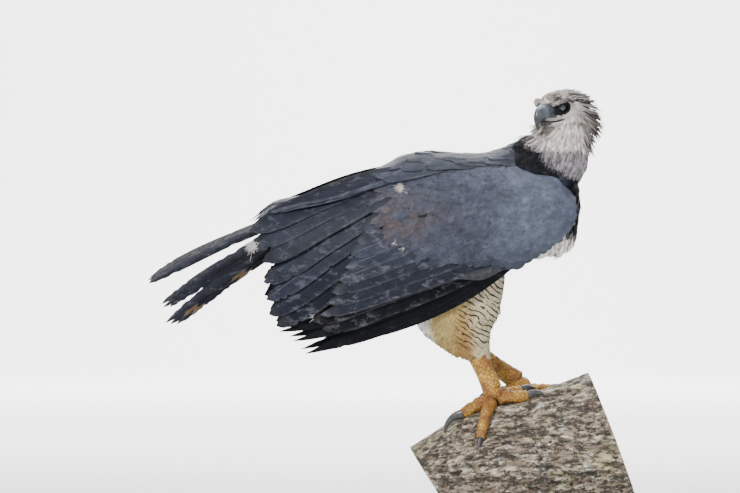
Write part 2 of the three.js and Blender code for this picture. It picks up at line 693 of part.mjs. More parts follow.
function legParts(name, leg, boughGrown) {
  const whole = union([thighOf(leg, 0), tarsusOf(leg)]);
  const ankle = leg.heel;
  const way = v3(...leg.ball).sub(v3(...ankle)).normalize();
  const cuff = v3(...ankle).addScaledVector(way, 26);
  const [shin, trousers] = partAt(whole, [way.x, way.y, way.z], [cuff.x, cuff.y, cuff.z]);
  const hub = ball(20, [0, 0, -3], 12, 7, [1.12, 1, 0.86]).translate(leg.ball);
  const parts = {};
  const toes = [];
  for (const number of [1, 2, 3, 4]) {
    const { toe, claw } = toeOf(leg, number);
    toes.push(toe);
    parts['claw_' + name + '_' + number] = claw.subtract(boughGrown);
  }
  const footWhole = union([hub, ...toes]).subtract(boughGrown);
  const sole = v3(...leg.ball).addScaledVector(way, -14);
  const [foot] = partAt(footWhole, [way.x, way.y, way.z], [sole.x, sole.y, sole.z]).reverse();
  return { thigh: trousers, shin, footWhole, parts, sole, way };
}

function standParts(boughGrown, floorZ) {
  const parts = {};
  const x0 = STAND.centreX;
  const shape = new THREE.Shape();
  const l = STAND.length / 2;
  const w = STAND.width / 2;
  const c = STAND.corner;
  shape.moveTo(-l + c, -w);
  shape.lineTo(l - c, -w);
  shape.absarc(l - c, -w + c, c, -Math.PI / 2, 0);
  shape.absarc(l - c, w - c, c, 0, Math.PI / 2);
  shape.absarc(-l + c, w - c, c, Math.PI / 2, Math.PI);
  shape.absarc(-l + c, -w + c, c, Math.PI, Math.PI * 1.5);
  const bevel = 3;
  const plate = new THREE.ExtrudeGeometry(shape, { depth: STAND.height - bevel, curveSegments: 4,
    bevelEnabled: true, bevelThickness: bevel, bevelSize: bevel, bevelOffset: -bevel, bevelSegments: 1 });
  plate.translate(x0, 0, floorZ);
  parts.stand_base = solid(plate).trimByPlane([0, 0, 1], floorZ);
  STAND.rodsX.forEach((x, i) => {
    const top = barkHeight(x, 0) - BOUGH.radius;
    const from = floorZ + STAND.height + GAP;
    const rod = new THREE.CylinderGeometry(STAND.rodRadius, STAND.rodRadius, top - from, 16);
    rod.rotateX(Math.PI / 2);
    rod.translate(x, 0, (top + from) / 2);
    parts['stand_rod_' + (i + 1)] = largest(solid(rod).subtract(boughGrown));
  });
  return parts;
}

// Colours from the bird: slate back, black breast band, grey head, cream thighs, yellow feet.
const LOOKS = {
  slate: { color: 0x2b2e36, roughness: 0.7 },
  black: { color: 0x17181c, roughness: 0.75 },
  grey: { color: 0xb3aaa6, roughness: 0.85 },
  ash: { color: 0x8d868a, roughness: 0.85 },
  white: { color: 0xe6e0d4, roughness: 0.9 },
  cream: { color: 0xd8ccb0, roughness: 0.9 },
  yellow: { color: 0xd9a04a, roughness: 0.6 },
  horn: { color: 0x2a2d33, roughness: 0.35 },
  skin: { color: 0x4a4d55, roughness: 0.6 },
  eye: { color: 0x2c3436, roughness: 0.08 },
  bark: { color: 0x8b8178, roughness: 0.95 },
  stand: { color: 0x2f2b28, roughness: 0.5 },
  steel: { color: 0x8c8f92, roughness: 0.35, metalness: 0.9 },
};

const bird = new THREE.Group();
function add(name, body, look) {
  const mesh = new THREE.Mesh(geometryOf(body), new THREE.MeshStandardMaterial(LOOKS[look]));
  mesh.name = name;
  bird.add(mesh);
}

// Bough and stand
const boughSolid = bough(0);
const boughGrown = bough(GAP);
const floorZ = boughSolid.boundingBox().min[2] - STAND.clearance - STAND.height;
add('perch', boughSolid, 'bark');
for (const [name, body] of Object.entries(standParts(boughGrown, floorZ))) {
  add(name, body, name === 'stand_base' ? 'stand' : 'steel');
}

// Head, in place
const matrix = headMatrix();
const head = Object.fromEntries(Object.entries(headParts()).map(([k, b]) => [k, place(b, matrix)]));
for (const [name, look] of Object.entries({ cere: 'skin', bill_upper: 'horn', bill_lower: 'horn',
  eye_right: 'eye', eye_left: 'eye' })) {
  add(name, head[name], look);
}

// Neck and trunk, made whole and parted with thin cuts
const neckWhole = neckColumn(0);
const trunkWhole = trunk(0);
const neckNormal = leanNormal(NECK_CUT.lean);
const headNormal = leanNormal(HEAD_CUT.lean);
const [headAbove] = partAt(union([head.head, neckWhole]), headNormal, HEAD_CUT.point);
add('head', headAbove, 'grey');
const column = union([neckWhole, trunkWhole]);
const [neckUp, trunkBelow] = partAt(column, neckNormal, NECK_CUT.point);
const neckBelow = partAt(neckUp, headNormal, HEAD_CUT.point)[1];
add('neck', largest(neckBelow.subtract(head.head)), 'ash');

const legs = Object.entries(LEGS).map(([name, leg]) => [name, legParts(name, leg, boughGrown)]);
const trunkClear = legs.reduce((body, [name]) => body.subtract(thighOf(LEGS[name], 2 * GAP)), trunkBelow);
const tailWhole = tail();
const [chest, rest] = partAt(trunkClear, [1, 0, 0], [CHEST_CUT_X, 0, 0]);
const [belly, rump] = partAt(rest, [1, 0, 0], [RUMP_CUT_X, 0, 0]);
const tailClear = tailWhole.trimByPlane([-1, 0, 0], 262);
add('chest', chest, 'white');
add('belly', belly, 'white');
add('rump', rump.trimByPlane([1, 0, 0], -262 + GAP), 'slate');
add('tail', largest(tailClear), 'black');

// Wings
const armWhole = wingArm();
const bodyGrown = union([trunk(GAP), neckColumn(GAP)]);
const vanes = WING_TIERS.flatMap((tier, i) => wingTier({ ...tier, seed: SEED + 10 * i }));
const wingWhole = union([armWhole, ...vanes]);
add('wing_right', largest(wingWhole.subtract(bodyGrown)), 'slate');
const pivot = [100, 0, 400];
const farPlace = new THREE.Matrix4().makeTranslation(...pivot)
  .multiply(new THREE.Matrix4().makeRotationY(rad(FAR_WING_LIFT)))
  .multiply(new THREE.Matrix4().makeTranslation(-pivot[0], 0, -pivot[2]))
  .multiply(new THREE.Matrix4().makeScale(1, -1, 1));
add('wing_left', largest(place(wingWhole, farPlace).subtract(bodyGrown)), 'slate');

// Legs
for (const [name, leg] of legs) {
  const n = [leg.way.x, leg.way.y, leg.way.z];
  const offset = leg.way.dot(leg.sole);
  add('thigh_' + name, largest(leg.thigh), 'cream');
  add('shin_' + name, largest(leg.shin.trimByPlane([-n[0], -n[1], -n[2]], -offset + HALF_GAP)), 'yellow');
  const below = leg.footWhole.trimByPlane(n, offset + HALF_GAP);
  add('foot_' + name, largest(below), 'yellow');
  for (const [claw, body] of Object.entries(leg.parts)) add(claw, largest(body), 'horn');
}

bird.position.set(-STAND.centreX, 0, -floorZ);
export default bird;
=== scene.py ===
# Harpy eagle on a cut length of bough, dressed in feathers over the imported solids.
# Shapes are worked out in millimetres from the point where the right foot meets the crest of the
# bough: +x the way the breast points, +y the bird's left, +z up. onRow puts them into the frame.
import math

import bpy
import numpy as np
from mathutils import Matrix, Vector


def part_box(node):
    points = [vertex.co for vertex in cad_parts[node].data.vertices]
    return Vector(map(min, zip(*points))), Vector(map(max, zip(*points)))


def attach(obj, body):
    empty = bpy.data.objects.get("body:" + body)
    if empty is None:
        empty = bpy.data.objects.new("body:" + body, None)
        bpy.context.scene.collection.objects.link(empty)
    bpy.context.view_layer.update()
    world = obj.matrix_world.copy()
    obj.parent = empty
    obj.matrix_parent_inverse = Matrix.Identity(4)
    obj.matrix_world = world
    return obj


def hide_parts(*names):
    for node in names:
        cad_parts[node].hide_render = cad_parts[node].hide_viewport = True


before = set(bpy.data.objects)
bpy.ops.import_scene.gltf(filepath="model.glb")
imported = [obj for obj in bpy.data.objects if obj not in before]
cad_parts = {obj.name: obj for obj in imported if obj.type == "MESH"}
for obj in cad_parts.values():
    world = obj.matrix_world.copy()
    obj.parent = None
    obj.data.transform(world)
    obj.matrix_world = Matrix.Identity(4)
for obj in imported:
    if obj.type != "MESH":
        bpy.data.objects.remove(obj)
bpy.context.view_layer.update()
root = "root"
print("frame loaded")

# where the bird stands in the frame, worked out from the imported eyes
bird = {
    "headAt": (126.0, -28.0, 581.0),
    "headTurn": -125.0,
    "headNod": 6.0,
    "eyeAt": (8.0, 21.5, 9.0),
    "eyeRadius": 11.5,
}


def unit(v):
    # each vector divided by its own length
    return v / np.maximum(np.linalg.norm(v, axis=-1, keepdims=True), 1e-9)


def smooth(x, lo, hi):
    # 0 up to lo, 1 from hi, and three t squared less two t cubed between them
    t = np.clip((x - lo) / (hi - lo), 0.0, 1.0)
    return t * t * (3.0 - 2.0 * t)


def mix(a, b, t):
    # a at t 0 and b at t 1, in a straight line
    return a + (b - a) * t


def lineAt(pairs, x):
    # cubic through [station, value] pairs with slopes from the neighbours, level past both ends
    xs, ys = np.array(pairs, float).T
    slope = np.gradient(ys, xs) if len(xs) > 2 else np.full(2, (ys[1] - ys[0]) / (xs[1] - xs[0]))
    x = np.clip(x, xs[0], xs[-1])
    i = np.clip(np.searchsorted(xs, x, side="right") - 1, 0, len(xs) - 2)
    w = xs[i + 1] - xs[i]
    t = (x - xs[i]) / w
    return ((2 * t**3 - 3 * t**2 + 1) * ys[i] + (t**3 - 2 * t**2 + t) * w * slope[i]
            + (3 * t**2 - 2 * t**3) * ys[i + 1] + (t**3 - t**2) * w * slope[i + 1])


def listAt(values, t):
    # as lineAt, for values at even steps of t from 0 to 1
    return lineAt(list(zip(np.linspace(0, 1, len(values)), values)), t)


def pathAt(points, t):
    # point and direction on a smooth path through the given points, t from 0 to 1 by chord length
    p = np.array(points, float)
    chord = np.concatenate([[0], np.cumsum(np.linalg.norm(np.diff(p, axis=0), axis=1) ** 0.75)])
    chord /= chord[-1]
    at = lambda q: np.stack([lineAt(list(zip(chord, p[:, k])), q) for k in range(3)], -1)
    return at(t), unit(at(np.clip(t + 1e-3, 0, 1)) - at(np.clip(t - 1e-3, 0, 1)))


# the head's own frame is nodded, then turned about the upright
turn, nod = math.radians(bird["headTurn"]), math.radians(bird["headNod"])
turnMatrix = np.array([[math.cos(turn), -math.sin(turn), 0], [math.sin(turn), math.cos(turn), 0], [0, 0, 1]])
nodMatrix = np.array([[math.cos(nod), 0, math.sin(nod)], [0, 1, 0], [-math.sin(nod), 0, math.cos(nod)]])
headMatrix = turnMatrix @ nodMatrix


def fromHead(p):
    # from the head's own frame to the bird's
    return np.asarray(p, float) @ headMatrix.T + np.array(bird["headAt"])


def toHead(p):
    # from the bird's frame to the head's own
    return (p - np.array(bird["headAt"])) @ headMatrix


def middle(node):
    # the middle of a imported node's box, in metres
    lo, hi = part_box(node)
    return np.array((lo + hi) / 2)


eyeMiddle = (middle("eye_left") + middle("eye_right")) / 2
footPoint = eyeMiddle - fromHead([bird["eyeAt"][0], 0, bird["eyeAt"][2]]) / 1000


def onRow(p):
    # millimetres from the foot point to metres in the frame
    return footPoint + np.asarray(p, float) / 1000


# mesh helpers
def hashNoise(p):
    # smooth value noise of 3-D points, from -1 to 1
    q = np.floor(p).astype(np.int64)
    f = p - q
    f = f * f * (3 - 2 * f)
    total = 0.0
    for dx in (0, 1):
        for dy in (0, 1):
            for dz in (0, 1):
                n = (q[..., 0] + dx) * 73856093 ^ (q[..., 1] + dy) * 19349663 ^ (q[..., 2] + dz) * 83492791
                n = (n ^ (n >> 13)) * 1274126177 & 0x7FFFFFFF
                v = ((n ^ (n >> 16)) & 0xFFFF) / 32767.5 - 1
                w = (np.where(dx, f[..., 0], 1 - f[..., 0]) * np.where(dy, f[..., 1], 1 - f[..., 1])
                     * np.where(dz, f[..., 2], 1 - f[..., 2]))
                total = total + v * w
    return total


def fractal(p, octaves=4, gain=0.5):
    # noise added up at finer and finer sizes, each weaker than the last by gain
    total, size, scale = 0.0, 1.0, 1.0
    for _ in range(octaves):
        total = total + size * hashNoise(p * scale + 17.3 * scale)
        size *= gain
        scale *= 2.03
    return total


def meshFrom(name, points, quads, tris=None, inMillimetres=True):
    # a smooth shaded object from points and faces, its place in its mesh
    mesh = bpy.data.meshes.new(name)
    points = onRow(points) if inMillimetres else points
    quads = np.asarray(quads, np.int32).reshape(-1, 4)
    tris = np.zeros((0, 3), np.int32) if tris is None else np.asarray(tris, np.int32).reshape(-1, 3)
    loops = np.concatenate([quads.ravel(), tris.ravel()])
    starts = np.concatenate([np.arange(len(quads)) * 4, len(quads) * 4 + np.arange(len(tris)) * 3])
    mesh.vertices.add(len(points))
    mesh.vertices.foreach_set("co", np.ascontiguousarray(points, np.float32).ravel())
    mesh.loops.add(len(loops))
    mesh.loops.foreach_set("vertex_index", loops.astype(np.int32))
    mesh.polygons.add(len(starts))
    mesh.polygons.foreach_set("loop_start", starts.astype(np.int32))
    mesh.update(calc_edges=True)
    mesh.polygons.foreach_set("use_smooth", np.ones(len(starts), bool))
    mesh.validate()
    piece = bpy.data.objects.new(name, mesh)
    bpy.context.scene.collection.objects.link(piece)
    return piece


def addColour(piece, name, values):
    # a colour for each point, as an attribute that materials read
    layer = piece.data.attributes.new(name, "FLOAT_COLOR", "POINT")
    rgba = np.ones((len(values), 4), np.float32)
    rgba[:, :values.shape[1]] = values
    layer.data.foreach_set("color", rgba.ravel())


def addVector(piece, name, values):
    # a vector for each point
    layer = piece.data.attributes.new(name, "FLOAT_VECTOR", "POINT")
    layer.data.foreach_set("vector", np.ascontiguousarray(values, np.float32).ravel())


def addUv(piece, name, perPoint):
    # each corner of a face takes the place of its point
    layer = piece.data.uv_layers.new(name=name)
    index = np.zeros(len(piece.data.loops), np.int32)
    piece.data.loops.foreach_get("vertex_index", index)
    layer.data.foreach_set("uv", np.ascontiguousarray(perPoint[index], np.float32).ravel())


def gridFaces(rows, cols, closed=True):
    # quads of a rows by cols grid of points; closed joins the last column to the first
    i, j = np.meshgrid(np.arange(rows - 1), np.arange(cols if closed else cols - 1), indexing="ij")
    k = (j + 1) % cols
    return np.stack([i * cols + j, i * cols + k, (i + 1) * cols + k, (i + 1) * cols + j], -1).reshape(-1, 4)


def facesOut(points, quads, tris):
    # the faces, turned over where the triple products of their corners add to less than nothing
    p = points - points.mean(0)
    triple = lambda a, b, c: np.sum(p[a] * np.cross(p[b], p[c]))
    volume = (triple(quads[:, 0], quads[:, 1], quads[:, 2]) + triple(quads[:, 0], quads[:, 2], quads[:, 3])
              + triple(tris[:, 0], tris[:, 1], tris[:, 2]))
    return (quads, tris) if volume > 0 else (quads[:, ::-1], tris[:, ::-1])


def closedFaces(rows, cols, base=0):
    # quads round a tube and triangles to a middle point at each end, numbered from base
    j = np.arange(cols)
    k, end, lastRing = (j + 1) % cols, base + rows * cols, base + (rows - 1) * cols
    first = np.stack([np.full(cols, end), base + k, base + j], -1)
    last = np.stack([np.full(cols, end + 1), lastRing + j, lastRing + k], -1)
    return gridFaces(rows, cols) + base, np.concatenate([first, last])


def withEnds(rings):
    # the points of all rings (rows, cols, 3), then the middles of the first and the last
    return np.concatenate([rings.reshape(-1, 3), rings[:1].mean(1), rings[-1:].mean(1)])


def tubeMesh(name, rings):
    # a closed body from rings
    points = withEnds(rings)
    return meshFrom(name, points, *facesOut(points, *closedFaces(*rings.shape[:2])))


def turnsOf(count):
    # even steps once round
    return np.linspace(0, 2 * np.pi, count, endpoint=False)


def frameAlong(points, t, across):
    # at t of a path: the place, the way square to the other two, the side way nearest to across, and along
    centre, along = pathAt(points, t)
    across = np.array(across, float)
    side = unit(across - (along @ across)[..., None] * along)
    return centre, np.cross(along, side), side, along


def limbRings(points, size, across, rows, cols):
    # rings round a path: cosine times the back or front radius, sine times the side's, by size(t)
    t = np.linspace(0, 1, rows)
    centre, back, side, _ = frameAlong(points, t, across)
    b, f, s = (np.asarray(v)[:, None, None] for v in size(t))
    angle = turnsOf(cols)
    c, n = np.cos(angle)[None, :, None], np.sin(angle)[None, :, None]
    return centre[:, None] + back[:, None] * c * np.where(c > 0, b, f) + side[:, None] * n * s


def settle(piece, node, material):
    # the piece rides on the root, stands for the nodes, and takes its slot and material
    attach(piece, root)
    for n in ([node] if isinstance(node, str) else node):
        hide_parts(n)
    piece.data.materials.clear()
    piece.data.materials.append(material)
    return piece


# shader helpers
def newMaterial(name):
    # a node material with its shader
    material = bpy.data.materials.new(name)
    material.use_nodes = True
    tree = material.node_tree
    return material, tree, tree.nodes["Principled BSDF"]


def fill(tree, socket, value):
    # a number or a colour is set on the socket, and another node's output is joined to it
    if isinstance(value, (int, float)):
        socket.default_value = value
    elif isinstance(value, tuple):
        socket.default_value = (*value, 1.0)[:4]
    elif value is not None:
        tree.links.new(value, socket)


def fillAll(tree, target, values):
    # values by the names of the sockets
    for name, value in values.items():
        fill(tree, target.inputs[name], value)


def calc(tree, kind, a, b=None, clamp=False):
    # one step of arithmetic on two values
    node = tree.nodes.new("ShaderNodeMath")
    node.operation = kind
    node.use_clamp = clamp
    fill(tree, node.inputs[0], a)
    fill(tree, node.inputs[1], b)
    return node.outputs[0]


def plus(tree, a, b):
    # a and b added
    return calc(tree, "ADD", a, b)


def minus(tree, a, b):
    # b taken from a
    return calc(tree, "SUBTRACT", a, b)


def times(tree, a, b):
    # a and b multiplied
    return calc(tree, "MULTIPLY", a, b)


def mixColour(tree, factor, a, b, blend="MIX"):
    # a at factor 0 and b at factor 1
    node = tree.nodes.new("ShaderNodeMix")
    node.data_type = "RGBA"
    node.blend_type = blend
    for index, value in ((0, factor), (6, a), (7, b)):
        fill(tree, node.inputs[index], value)
    return node.outputs[2]


def dimmed(tree, colour, level):
    # a colour multiplied by a level or another colour
    return mixColour(tree, 1.0, colour, level, "MULTIPLY")


def ramp(tree, value, stops):
    # levels or colours at stops of the value, in straight lines between them
    node = tree.nodes.new("ShaderNodeValToRGB")
    while len(node.color_ramp.elements) < len(stops):
        node.color_ramp.elements.new(0.5)
    for element, (place, colour) in zip(node.color_ramp.elements, stops):
        element.position = place
        element.color = (*colour, 1.0) if isinstance(colour, tuple) else (colour, colour, colour, 1.0)
    tree.links.new(value, node.inputs[0])
    return node.outputs[0]


def noise(tree, scale, detail=4.0, rough=0.55, vector=None):
    # cloudy noise from 0 to 1
    node = tree.nodes.new("ShaderNodeTexNoise")
    fillAll(tree, node, {"Scale": scale, "Detail": detail, "Roughness": rough, "Vector": vector})
    return node.outputs["Fac"]


def stretched(tree, place, scale):
    # places multiplied along each axis, so that a pattern on them runs longer where scale is small
    node = tree.nodes.new("ShaderNodeMapping")
    node.inputs["Scale"].default_value = scale
    tree.links.new(place, node.inputs["Vector"])
    return node.outputs[0]


def objectPlace(tree, scale=(1, 1, 1)):
    # metres in the piece's own frame
    place = tree.nodes.new("ShaderNodeTexCoord").outputs["Object"]
    return place if scale == (1, 1, 1) else stretched(tree, place, scale)


def attribute(tree, name, output="Color"):
    # what the mesh says at each point
    node = tree.nodes.new("ShaderNodeAttribute")
    node.attribute_name = name
    return node.outputs[output]


def partsOf(tree, source, kind):
    # the three parts of a vector or a colour
    node = tree.nodes.new("ShaderNodeSeparate" + kind)
    tree.links.new(source, node.inputs[0])
    return node.outputs


def bumpInto(tree, shader, height, strength, distance):
    # relief from a height
    node = tree.nodes.new("ShaderNodeBump")
    fillAll(tree, node, {"Strength": strength, "Distance": distance, "Height": height})
    tree.links.new(node.outputs[0], shader.inputs["Normal"])


# plumage finish
plumage = {
    "slate": (0.042, 0.047, 0.067),
    "slateLight": (0.078, 0.090, 0.126),
    "black": (0.0036, 0.0043, 0.0062),
    "quill": (0.0135, 0.0160, 0.0260),
    "covert": (0.0255, 0.0300, 0.0450),
    "mantle": (0.0165, 0.0198, 0.0305),
    "hind": (0.0120, 0.0125, 0.0155),
    "brownBlack": (0.026, 0.021, 0.019),
    "rust": (0.085, 0.060, 0.052),
    "grey": (0.37, 0.30, 0.275),
    "paleGrey": (0.82, 0.74, 0.69),
    "crown": (0.21, 0.150, 0.125),
    "lores": (0.046, 0.052, 0.065),
    "neck": (0.33, 0.305, 0.325),
    "white": (0.86, 0.82, 0.77),
    "cream": (0.345, 0.265, 0.108),
    "linen": (0.53, 0.465, 0.315),
    "stain": (0.27, 0.125, 0.035),
    "bar": (0.020, 0.018, 0.018),
    "tailBar": (0.19, 0.125, 0.065),
}
featherMarks = {
    "barbs": 260.0, "barbSlant": 0.16, "shaftWidth": 1 / 14.0,
    "paleShaft": (0.20, 0.205, 0.225), "worn": (0.16, 0.15, 0.15), "bleached": (0.105, 0.108, 0.125),
    "dapple": 55.0, "bleach": 74.0,
}
thighMarks = {"gap": 0.0098, "wander": 0.030, "line": (0.022, 0.019, 0.018)}


def dye(name):
    # a plumage colour as an array
    return np.array(plumage[name])


def barbLines(group, feather, t, out):
    # the sine of t less a share of the way out, and 1 at the shaft down to 0 beside it
    wobble = noise(group, 5.0, 2.0, 0.5, feather)
    slant = minus(group, t, times(group, out, featherMarks["barbSlant"]))
    slant = plus(group, slant, times(group, wobble, 0.03))
    wave = calc(group, "SINE", times(group, slant, featherMarks["barbs"]))
    lines = plus(group, times(group, wave, 0.5), 0.5)
    shaft = calc(group, "SUBTRACT", 1.0, times(group, out, 1 / featherMarks["shaftWidth"]), clamp=True)
    return lines, shaft


def plumageGroup():
    # tint at the root and tip tint at the tip, with cross bars, shaft, barbs, painted shade on the covered
    # vane and paler worn edges
    group = bpy.data.node_groups.new("plumageLook", "ShaderNodeTree")
    inputs = {"Feather": "Vector", "Place": "Vector", "Tint": "Color", "Tip tint": "Color",
              "Bar tint": "Color", "Marks": "Color", "Bars": "Float", "Shade": "Float", "Contrast": "Float"}
    for name, kind in inputs.items():
        group.interface.new_socket(name, in_out="INPUT", socket_type="NodeSocket" + kind)
    for name, kind in (("Colour", "Color"), ("Height", "Float")):
        group.interface.new_socket(name, in_out="OUTPUT", socket_type="NodeSocket" + kind)
    start, end = group.nodes.new("NodeGroupInput"), group.nodes.new("NodeGroupOutput")
    feather, place, tint, tipTint, barTint, marks, bars, shade, contrast = (start.outputs[n] for n in inputs)
    barAmount, barCount, wear = partsOf(group, marks, "Color")
    t, s, seed = partsOf(group, feather, "XYZ")
    out = calc(group, "ABSOLUTE", s)
    lines, shaft = barbLines(group, feather, t, out)
    colour = mixColour(group, ramp(group, t, [(0.35, 0.0), (0.80, 1.0)]), tint, tipTint)
    # bars: a wave along the feather, bent back at the edges
    bent = minus(group, t, times(group, out, 0.03))
    phase = times(group, times(group, bent, barCount), 62.8)
    wave = calc(group, "SINE", plus(group, phase, times(group, seed, 1.4)))
    barMask = times(group, ramp(group, wave, [(0.55, 0.0), (0.75, 1.0)]), times(group, barAmount, bars))
    colour = mixColour(group, barMask, colour, barTint)
    # dapple over all, a tone for each feather, and the barbs
    mottle = noise(group, featherMarks["dapple"], 5.0, 0.6, place)
    colour = dimmed(group, colour, ramp(group, mottle, [(0.3, 0.72), (0.7, 1.25)]))
    each = minus(group, times(group, seed, 0.22), 0.11)
    colour = dimmed(group, colour, plus(group, times(group, each, contrast), 1.0))
    fine = minus(group, times(group, lines, 0.32), 0.20)
    colour = dimmed(group, colour, plus(group, times(group, fine, contrast), 1.0))
    # a few feathers show a pale shaft
    pale = times(group, times(group, shaft, ramp(group, seed, [(0.90, 0.0), (0.93, 1.0)])), wear)
    colour = mixColour(group, times(group, pale, 0.3), colour, featherMarks["paleShaft"])
    # painted shade: the vane under the next feather is darkened as if in that feather's shadow
    across = plus(group, times(group, s, 0.5), 0.5)
    free = calc(group, "MULTIPLY", across, 1 / 0.45, clamp=True)
    under = plus(group, shade, times(group, free, minus(group, 1.0, shade)))
    colour = dimmed(group, colour, under)
    # worn edges and tips, then bleached spots
    edge = calc(group, "MAXIMUM", ramp(group, out, [(0.72, 0.0), (1.0, 1.0)]),
                ramp(group, t, [(0.9, 0.0), (1.0, 1.0)]))
    worn = times(group, times(group, edge, wear), ramp(group, mottle, [(0.35, 0.2), (0.65, 1.0)]))
    colour = mixColour(group, times(group, worn, 0.22), colour, featherMarks["worn"])
    spots = noise(group, featherMarks["bleach"], 4.0, 0.7, stretched(group, place, (0.55, 1, 1)))
    bleach = times(group, ramp(group, spots, [(0.54, 0.0), (0.64, 1.0)]), wear)
    colour = mixColour(group, times(group, bleach, 0.5), colour, featherMarks["bleached"])
    group.links.new(colour, end.inputs[0])
    group.links.new(plus(group, times(group, lines, 0.5), shaft), end.inputs[1])
    return group


plumageLook = plumageGroup()


def plumageMaterial(name, roughness, sheen, bump, bars=1.0, shade=0.45, contrast=1.0):
    # the shared look with the gloss, sheen and relief of one kind of feather
    material, tree, shader = newMaterial(name)
    look = tree.nodes.new("ShaderNodeGroup")
    look.node_tree = plumageLook
    fillAll(tree, look, {"Feather": attribute(tree, "feather", "Vector"), "Place": objectPlace(tree),
                         "Tint": attribute(tree, "tint"), "Tip tint": attribute(tree, "tipTint"),
                         "Bar tint": attribute(tree, "barTint"), "Marks": attribute(tree, "marks"),
                         "Bars": bars, "Shade": shade, "Contrast": contrast})
    fillAll(tree, shader, {"Base Color": look.outputs["Colour"], "Roughness": roughness,
                           "Specular IOR Level": 0.06, "Sheen Weight": sheen, "Sheen Roughness": 0.4})
    bumpInto(tree, shader, look.outputs["Height"], bump, 0.0006)
    return material


def addThighBars(material):
    # thin dark wavy lines that fall towards the front of the leg, broken up, none behind
    tree, shader = material.node_tree, material.node_tree.nodes["Principled BSDF"]
    place = objectPlace(tree)
    x, _, z = partsOf(tree, place, "XYZ")
    along = plus(tree, times(tree, x, 0.55), times(tree, z, 0.83))
    along = plus(tree, along, times(tree, noise(tree, 26.0, 2.0, 0.5, place), thighMarks["wander"]))
    wave = calc(tree, "SINE", times(tree, along, 2 * math.pi / thighMarks["gap"]))
    lines = ramp(tree, wave, [(0.45, 0.0), (0.70, 1.0)])
    breaks = ramp(tree, noise(tree, 70.0, 2.0, 0.5, place), [(0.36, 0.0), (0.44, 1.0)])
    barred = partsOf(tree, attribute(tree, "marks"), "Color")[0]
    mask = times(tree, times(tree, lines, breaks), barred)
    below = shader.inputs["Base Color"].links[0].from_socket
    tree.links.new(mixColour(tree, mask, below, thighMarks["line"]), shader.inputs["Base Color"])
    return material


vaneFinish = plumageMaterial("vaneFinish", 0.44, 0.0, 0.5)
covertFinish = plumageMaterial("covertFinish", 0.55, 0.02, 0.32, shade=0.90, contrast=0.8)
downFinish = plumageMaterial("downFinish", 0.85, 0.10, 0.45)
thighFinish = addThighBars(plumageMaterial("thighFinish", 0.85, 0.10, 0.45, bars=0.0))

# feathers
shapes = {
    # outline of a feather by t: half width as a share of the widest
    "round": [[0, 0.18], [0.15, 0.55], [0.45, 0.95], [0.7, 1.0], [0.88, 0.82], [0.96, 0.5], [1, 0.08]],
    "lance": [[0, 0.2], [0.2, 0.7], [0.45, 1.0], [0.7, 0.8], [0.88, 0.42], [1, 0.03]],
    "blunt": [[0, 0.3], [0.1, 0.55], [0.35, 0.95], [0.6, 1.0], [0.84, 0.96], [0.93, 0.74], [0.98, 0.4],
              [1, 0.06]],
    "pointed": [[0, 0.3], [0.15, 0.65], [0.4, 0.98], [0.7, 0.92], [0.88, 0.6], [0.96, 0.28], [1, 0.03]],
    "soft": [[0, 0.3], [0.2, 0.8], [0.5, 1.0], [0.72, 0.86], [0.88, 0.55], [1, 0.08]],
    "hair": [[0, 0.35], [0.3, 1.0], [0.6, 0.8], [0.85, 0.4], [1, 0.02]],
}
coat = {}


def coatSet(name):
    # what is gathered for one piece of the coat
    keys = ("points", "quads", "tris", "feather", "tint", "tipTint", "barTint", "marks", "uv")
    return coat.setdefault(name, {"count": 0, **{key: [] for key in keys}})


def ringFaces(rows, cols):
    # one feather: rings that run over the top from edge to edge and back underneath
    ring = 2 * cols - 2
    quads = gridFaces(rows, ring)
    tris, caps = [], []
    for start, turned in ((0, True), ((rows - 1) * ring, False)):
        for j in range(cols - 1):
            a, b = start + j, start + j + 1
            c, d = start + (ring - j - 1) % ring, start + (ring - j) % ring
            if j == 0:
                face = [a, b, c]
            elif j == cols - 2:
                face = [a, b, d]
            else:
                caps.append([a, b, c, d][::-1] if turned else [a, b, c, d])
                continue
            tris.append(face[::-1] if turned else face)
    return quads, np.array(tris), np.array(caps, int).reshape(-1, 4)


def store(setName, grid, t, s, seed, look, rootUv, rows, cols):
    # grid: (feathers, rows, ring, 3) points in millimetres
    target = coatSet(setName)
    count, _, ring, _ = grid.shape
    quads, tris, caps = ringFaces(rows, cols)
    quads = np.concatenate([quads, caps])
    base = target["count"] + np.arange(count)[:, None, None] * rows * ring
    target["points"].append(grid.reshape(-1, 3))
    p = (grid - grid[:, :1, :1]).reshape(count, -1, 3)
    volume = sum(np.sum(p[:, f[:, 0]] * np.cross(p[:, f[:, 1]], p[:, f[:, 2]]), (1, 2))
                 for f in (quads[:, :3], quads[:, [0, 2, 3]], tris))
    turned = (volume < 0)[:, None, None]
    for key, faces in (("quads", quads), ("tris", tris)):
        turnedFaces = np.where(turned, faces[None, :, ::-1], faces[None]) + base
        target[key].append(turnedFaces.reshape(-1, faces.shape[1]))
    full = lambda v: np.broadcast_to(v, (count, rows, ring)).reshape(-1)
    tt, ss = full(t[None, :, None]), full(s[None, None, :])
    target["feather"].append(np.stack([tt, ss, full(seed[:, None, None])], -1))
    for key in ("tint", "tipTint", "barTint", "marks"):
        value = np.broadcast_to(np.asarray(look[key], float), (count, 3))
        target[key].append(np.repeat(value, rows * ring, axis=0))
    patch = np.stack([ss, tt * 2 - 1], -1) * 0.0015
    target["uv"].append(np.repeat(rootUv, rows * ring, axis=0) + patch)
    target["count"] += count * rows * ring


